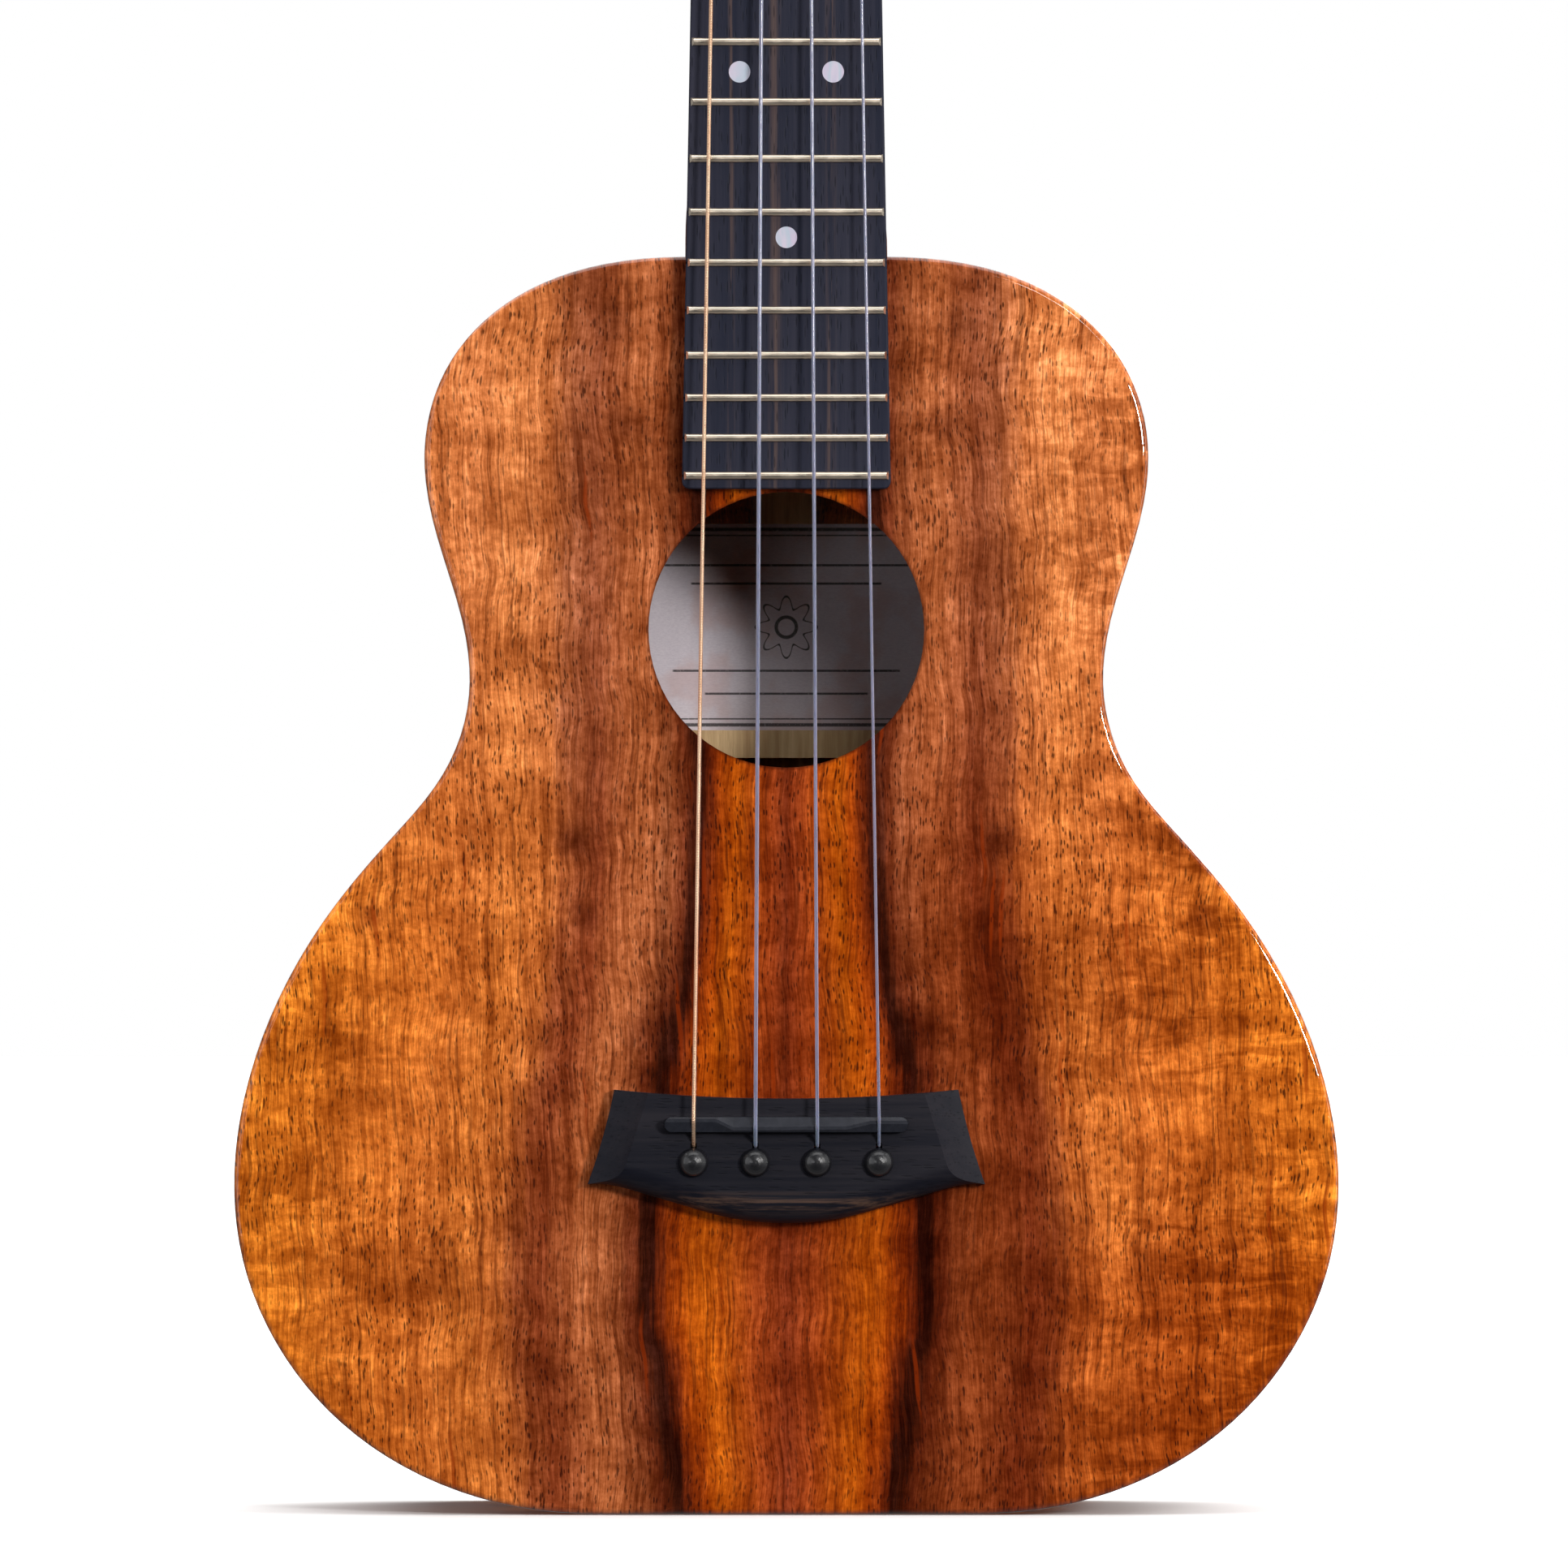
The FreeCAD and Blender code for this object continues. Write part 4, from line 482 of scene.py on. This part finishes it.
# The material of each CAD node, by the start of the node's name.
FINISHES = {
    "soundboard_": koa_top(),
    "back_bass_half": koa_plate("koa_back", BACK_BANDS, BACK_REACH, 41),
    "headplate": koa_plate("koa_head", HEAD_BANDS, HEAD_REACH, 61),
    "side_": koa_side(),
    "neck": plain_wood("mahogany", srgb(92, 44, 26), srgb(142, 78, 46), 0.5, 0.34, 0.35, 0.7, 2),
    "back_braces": plain_wood("spruce", srgb(176, 140, 96), srgb(214, 182, 136),
                              0.9, 0.7, 0.0, 0.0, 4),
    "bridge_plate": plain_wood("maple", srgb(186, 146, 100), srgb(212, 178, 134),
                               0.5, 0.6, 0.0, 0.1, 5),
    "label": paper(),
    "fretboard": plain_wood("ebony_board", srgb(30, 33, 47), srgb(46, 46, 58),
                            0.8, 0.50, 0.0, 0.5, 6, shine=0.08, accents=BOARD_ACCENTS),
    "bridge": plain_wood("ebony_bridge", srgb(16, 17, 26), srgb(32, 30, 36),
                         0.9, 0.50, 0.0, 0.4, 7, "x", 0.12, BRIDGE_ACCENTS),
    "heel_cap": plain_wood("ebony", srgb(26, 25, 31), srgb(54, 46, 45),
                           0.8, 0.35, 0.3, 0.4, 8, "x"),
    "frets": metal("fret_wire", srgb(226, 211, 192), 0.30, "x", 0.02),
    "fret_markers": pearl(),
    "nut": plastic("bone", srgb(226, 218, 196), srgb(220, 211, 187), 0.30, 0.2),
    "saddle": plastic("black_bone", srgb(26, 28, 36), srgb(34, 36, 44), 0.42, 0.0, 0.25),
    "bridge_pin": plastic("pin_plastic", srgb(13, 13, 17), srgb(20, 19, 24), 0.34, 0.25),
    "string": clear_string(),
    "string_4": wound_string(),
    "string_post": metal("nickel", srgb(206, 206, 208), 0.16),
    "worm_gear": metal("brass", srgb(214, 176, 104), 0.26, "x"),
    "tuner_button": plastic("button_plastic", srgb(18, 18, 20), srgb(28, 27, 29), 0.18, 0.9),
}
SAME_FINISH = {
    "back_treble_half": "back_bass_half",
    "neck_block": "neck", "tail_block": "neck",
    "soundboard_linings": "back_braces", "back_linings": "back_braces",
    "back_centre_strip": "back_braces", "fan_braces": "back_braces",
    "upper_soundhole_brace": "back_braces", "lower_soundhole_brace": "back_braces",
    "post_bushings": "string_post", "tuner_screws": "string_post",
    "tuner_housing": "string_post", "tuner_shaft": "string_post",
}


def finish_of(node):
    """The material for a CAD node: the one under the longest name that its own starts with."""
    names = [name for name in (*FINISHES, *SAME_FINISH) if node.startswith(name)]
    best = max(names, key=len)
    return FINISHES[SAME_FINISH.get(best, best)]


for node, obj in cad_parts.items():
    material = finish_of(node)
    if not obj.material_slots:
        obj.data.materials.append(material)
    for slot in obj.material_slots:
        slot.material = material


# ---------------------------------------------------------------- strings wound on their posts

# Metres, as the CAD has them. A winding starts beside its post and climbs away from the headstock.
HEAD_TILT = math.radians(13.0)
ACROSS = Vector((1, 0, 0))
UP_HEAD = Vector((0, math.sin(HEAD_TILT), math.cos(HEAD_TILT)))
OUT_OF_HEAD = Vector((0, -math.cos(HEAD_TILT), math.sin(HEAD_TILT)))
STRING_DIAMETER = {1: 0.00064, 2: 0.00076, 3: 0.00084, 4: 0.00082}
POST_RADIUS = 0.003
WAIST_RADIUS = 0.0025
WRAP_START = 0.0062                                    # the first wrap's foot above the wood
EYE_RISE = 0.0123                                      # the post's eye above the wood
WRAP_TURNS = 2.75
TAIL_TURNS = 0.5                                       # from the last wrap up to the eye
TURN_STEPS = 28
PITCH = 0.98                                           # from wrap to wrap, in string diameters
EYE_PASS = (0.6, 0.0, -0.8, -1.5)                      # through the eye, in waist radii


def wound_end(number):
    """A string's end: close turns up the post, then through its eye with a short cut tail."""
    low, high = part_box(f"string_winding_{number}")
    thickness = STRING_DIAMETER[number]
    centre = (low + high) / 2 - OUT_OF_HEAD * (WRAP_START + 1.5 * thickness)
    side = 1 if number < 3 else -1
    points = []

    def place(turns, radius, rise):
        """Adds a point that far round the post, from its axis and above the headstock."""
        angle = turns * math.tau
        points.append(centre - ACROSS * (side * radius * math.cos(angle))
                      + UP_HEAD * (radius * math.sin(angle)) + OUT_OF_HEAD * rise)

    ring = POST_RADIUS + thickness * 0.52
    first_rise = WRAP_START + thickness / 2
    steps = round(WRAP_TURNS * TURN_STEPS)
    for step in range(steps + 1):
        turns = WRAP_TURNS * step / steps
        place(turns, ring, first_rise + turns * thickness * PITCH)
    top = first_rise + WRAP_TURNS * thickness * PITCH
    tail_steps = round(TAIL_TURNS * TURN_STEPS)
    for step in range(1, tail_steps + 1):
        share = step / tail_steps
        climb = share * share * (3 - 2 * share)
        radius = ring + (WAIST_RADIUS + thickness * 0.55 - ring) * climb
        place(WRAP_TURNS + TAIL_TURNS * share, radius, top + (EYE_RISE - top) * climb)
    for reach in EYE_PASS:
        points.append(centre + UP_HEAD * (reach * WAIST_RADIUS) + OUT_OF_HEAD * EYE_RISE)

    curve = bpy.data.curves.new(f"string_end_{number}", "CURVE")
    curve.dimensions = "3D"
    spline = curve.splines.new("NURBS")
    spline.points.add(len(points) - 1)
    for target, point in zip(spline.points, points):
        target.co = (*point, 1.0)
    spline.order_u = 3
    spline.use_endpoint_u = True
    curve.bevel_depth = thickness / 2
    curve.bevel_resolution = 4
    curve.use_fill_caps = True
    piece = bpy.data.objects.new(f"string_end_{number}", curve)
    bpy.context.scene.collection.objects.link(piece)
    curve.materials.append(FINISHES["string_4" if number == 4 else "string"])
    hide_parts(f"string_winding_{number}")
    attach(piece, f"post_{number}")


for number in STRING_DIAMETER:
    wound_end(number)


# ---------------------------------------------------------------- floor, light and camera

def plain_stage(name, level):
    """A pale matt surface with the faintest mottling."""
    g = Graph(name)
    cloud = g.noise((0.002, 0.002, 0.002), 1, 3)
    colour = g.mix(g.fade(cloud, 0.3, 0.7), grey(level - 0.01), grey(level))
    return g.finish({"Base Color": colour, "Roughness": 0.9, "Specular IOR Level": 0.1})


FLOOR_HALF = 6.0
FLOOR_GAP = 0.0002
floor_mesh = bpy.data.meshes.new("floor")
corners = [(-1, -1), (1, -1), (1, 1), (-1, 1)]
floor_mesh.from_pydata([(x * FLOOR_HALF, y * FLOOR_HALF, 0) for x, y in corners], [],
                       [(0, 1, 2, 3)])
floor = bpy.data.objects.new("floor", floor_mesh)
floor.location.z = cad_box[0].z - FLOOR_GAP
bpy.context.scene.collection.objects.link(floor)
floor_mesh.materials.append(plain_stage("floor_paper", 0.90))
# The gloss mirrors the lights and not the floor, and no light comes up off it.
floor.visible_glossy = False
floor.visible_diffuse = False


def softbox(name, place, target, width, height, power, colour=(1, 1, 1)):
    """A rectangular light at a place, facing a target."""
    data = bpy.data.lights.new(name, "AREA")
    data.shape = "RECTANGLE"
    data.size = width
    data.size_y = height
    data.energy = power
    data.color = colour
    light = bpy.data.objects.new(name, data)
    light.location = place
    light.rotation_euler = (Vector(target) - Vector(place)).to_track_quat("-Z", "Y").to_euler()
    bpy.context.scene.collection.objects.link(light)


BODY = (0.0, -0.04, 0.16)
WARM, COOL, COOLER = (1.0, 0.98, 0.96), (0.98, 0.98, 1.0), (0.97, 0.98, 1.0)
softbox("key", (0.86, -1.40, 0.44), BODY, 0.24, 0.24, 18.2, WARM)
softbox("near_fill", (0.45, -1.60, 0.85), BODY, 0.36, 0.36, 5.5)
softbox("low_fill", (-0.62, -1.50, 0.22), BODY, 0.36, 0.36, 1.4, COOL)
softbox("left_fill", (-1.40, -1.00, 0.40), BODY, 1.0, 1.2, 6.0, COOLER)
softbox("right_edge", (0.95, -0.28, 0.34), BODY, 0.18, 1.1, 3.0)
softbox("back_fill", (0.90, 1.50, 1.00), BODY, 1.0, 1.0, 16.0)

# A broad light from above keeps the floor pale and its shadow short.
SUN_STRENGTH = 4.1
SUN_SPREAD = math.radians(95)
SUN_LEAN = math.radians(-12)
sun = bpy.data.lights.new("overhead", "SUN")
sun.energy = SUN_STRENGTH
sun.angle = SUN_SPREAD
overhead = bpy.data.objects.new("overhead", sun)
overhead.rotation_euler = (SUN_LEAN, 0, 0)
bpy.context.scene.collection.objects.link(overhead)

world = bpy.data.worlds.new("studio")
bpy.context.scene.world = world
world.use_nodes = True
tree = world.node_tree
tree.nodes.clear()


def world_node(kind, *inputs):
    """A new world node, its first inputs linked to a socket or set to a constant."""
    node = tree.nodes.new(kind)
    for socket, value in zip(node.inputs, inputs):
        if isinstance(value, bpy.types.NodeSocket):
            tree.links.new(value, socket)
        else:
            socket.default_value = value
    return node


# The room is white to the camera. As light it fades towards the front, so the gloss stays deep.
DIM, BRIGHT = 0.01, 0.34
direction = world_node("ShaderNodeTexCoord").outputs["Generated"]
heading = world_node("ShaderNodeSeparateXYZ", direction).outputs[1]
dim = world_node("ShaderNodeMapRange", heading, -0.98, -0.2, DIM, BRIGHT).outputs[0]
seen = world_node("ShaderNodeLightPath").outputs["Is Camera Ray"]
white = world_node("ShaderNodeBackground", grey(1.0), 1.0)
ambient = world_node("ShaderNodeBackground", grey(1.0), dim)
both = world_node("ShaderNodeMixShader", seen, ambient.outputs[0], white.outputs[0])
world_node("ShaderNodeOutputWorld", both.outputs[0])

bpy.context.scene.view_settings.view_transform = "Standard"

FRAME_WIDTH = 0.3356                                   # what the camera sees at the soundboard
CAMERA_DISTANCE = 3.6
CAMERA_ASIDE, CAMERA_HEIGHT = -0.0005, 0.1563
camera_data = bpy.data.cameras.new("camera")
camera_data.sensor_width = 36.0
camera_data.lens = camera_data.sensor_width * CAMERA_DISTANCE / FRAME_WIDTH
camera = bpy.data.objects.new("camera", camera_data)
soundboard_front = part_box("soundboard_bass_half")[0].y
camera.location = (CAMERA_ASIDE, soundboard_front - CAMERA_DISTANCE, CAMERA_HEIGHT)
camera.rotation_euler = (math.radians(90), 0, 0)
bpy.context.scene.collection.objects.link(camera)
bpy.context.scene.camera = camera
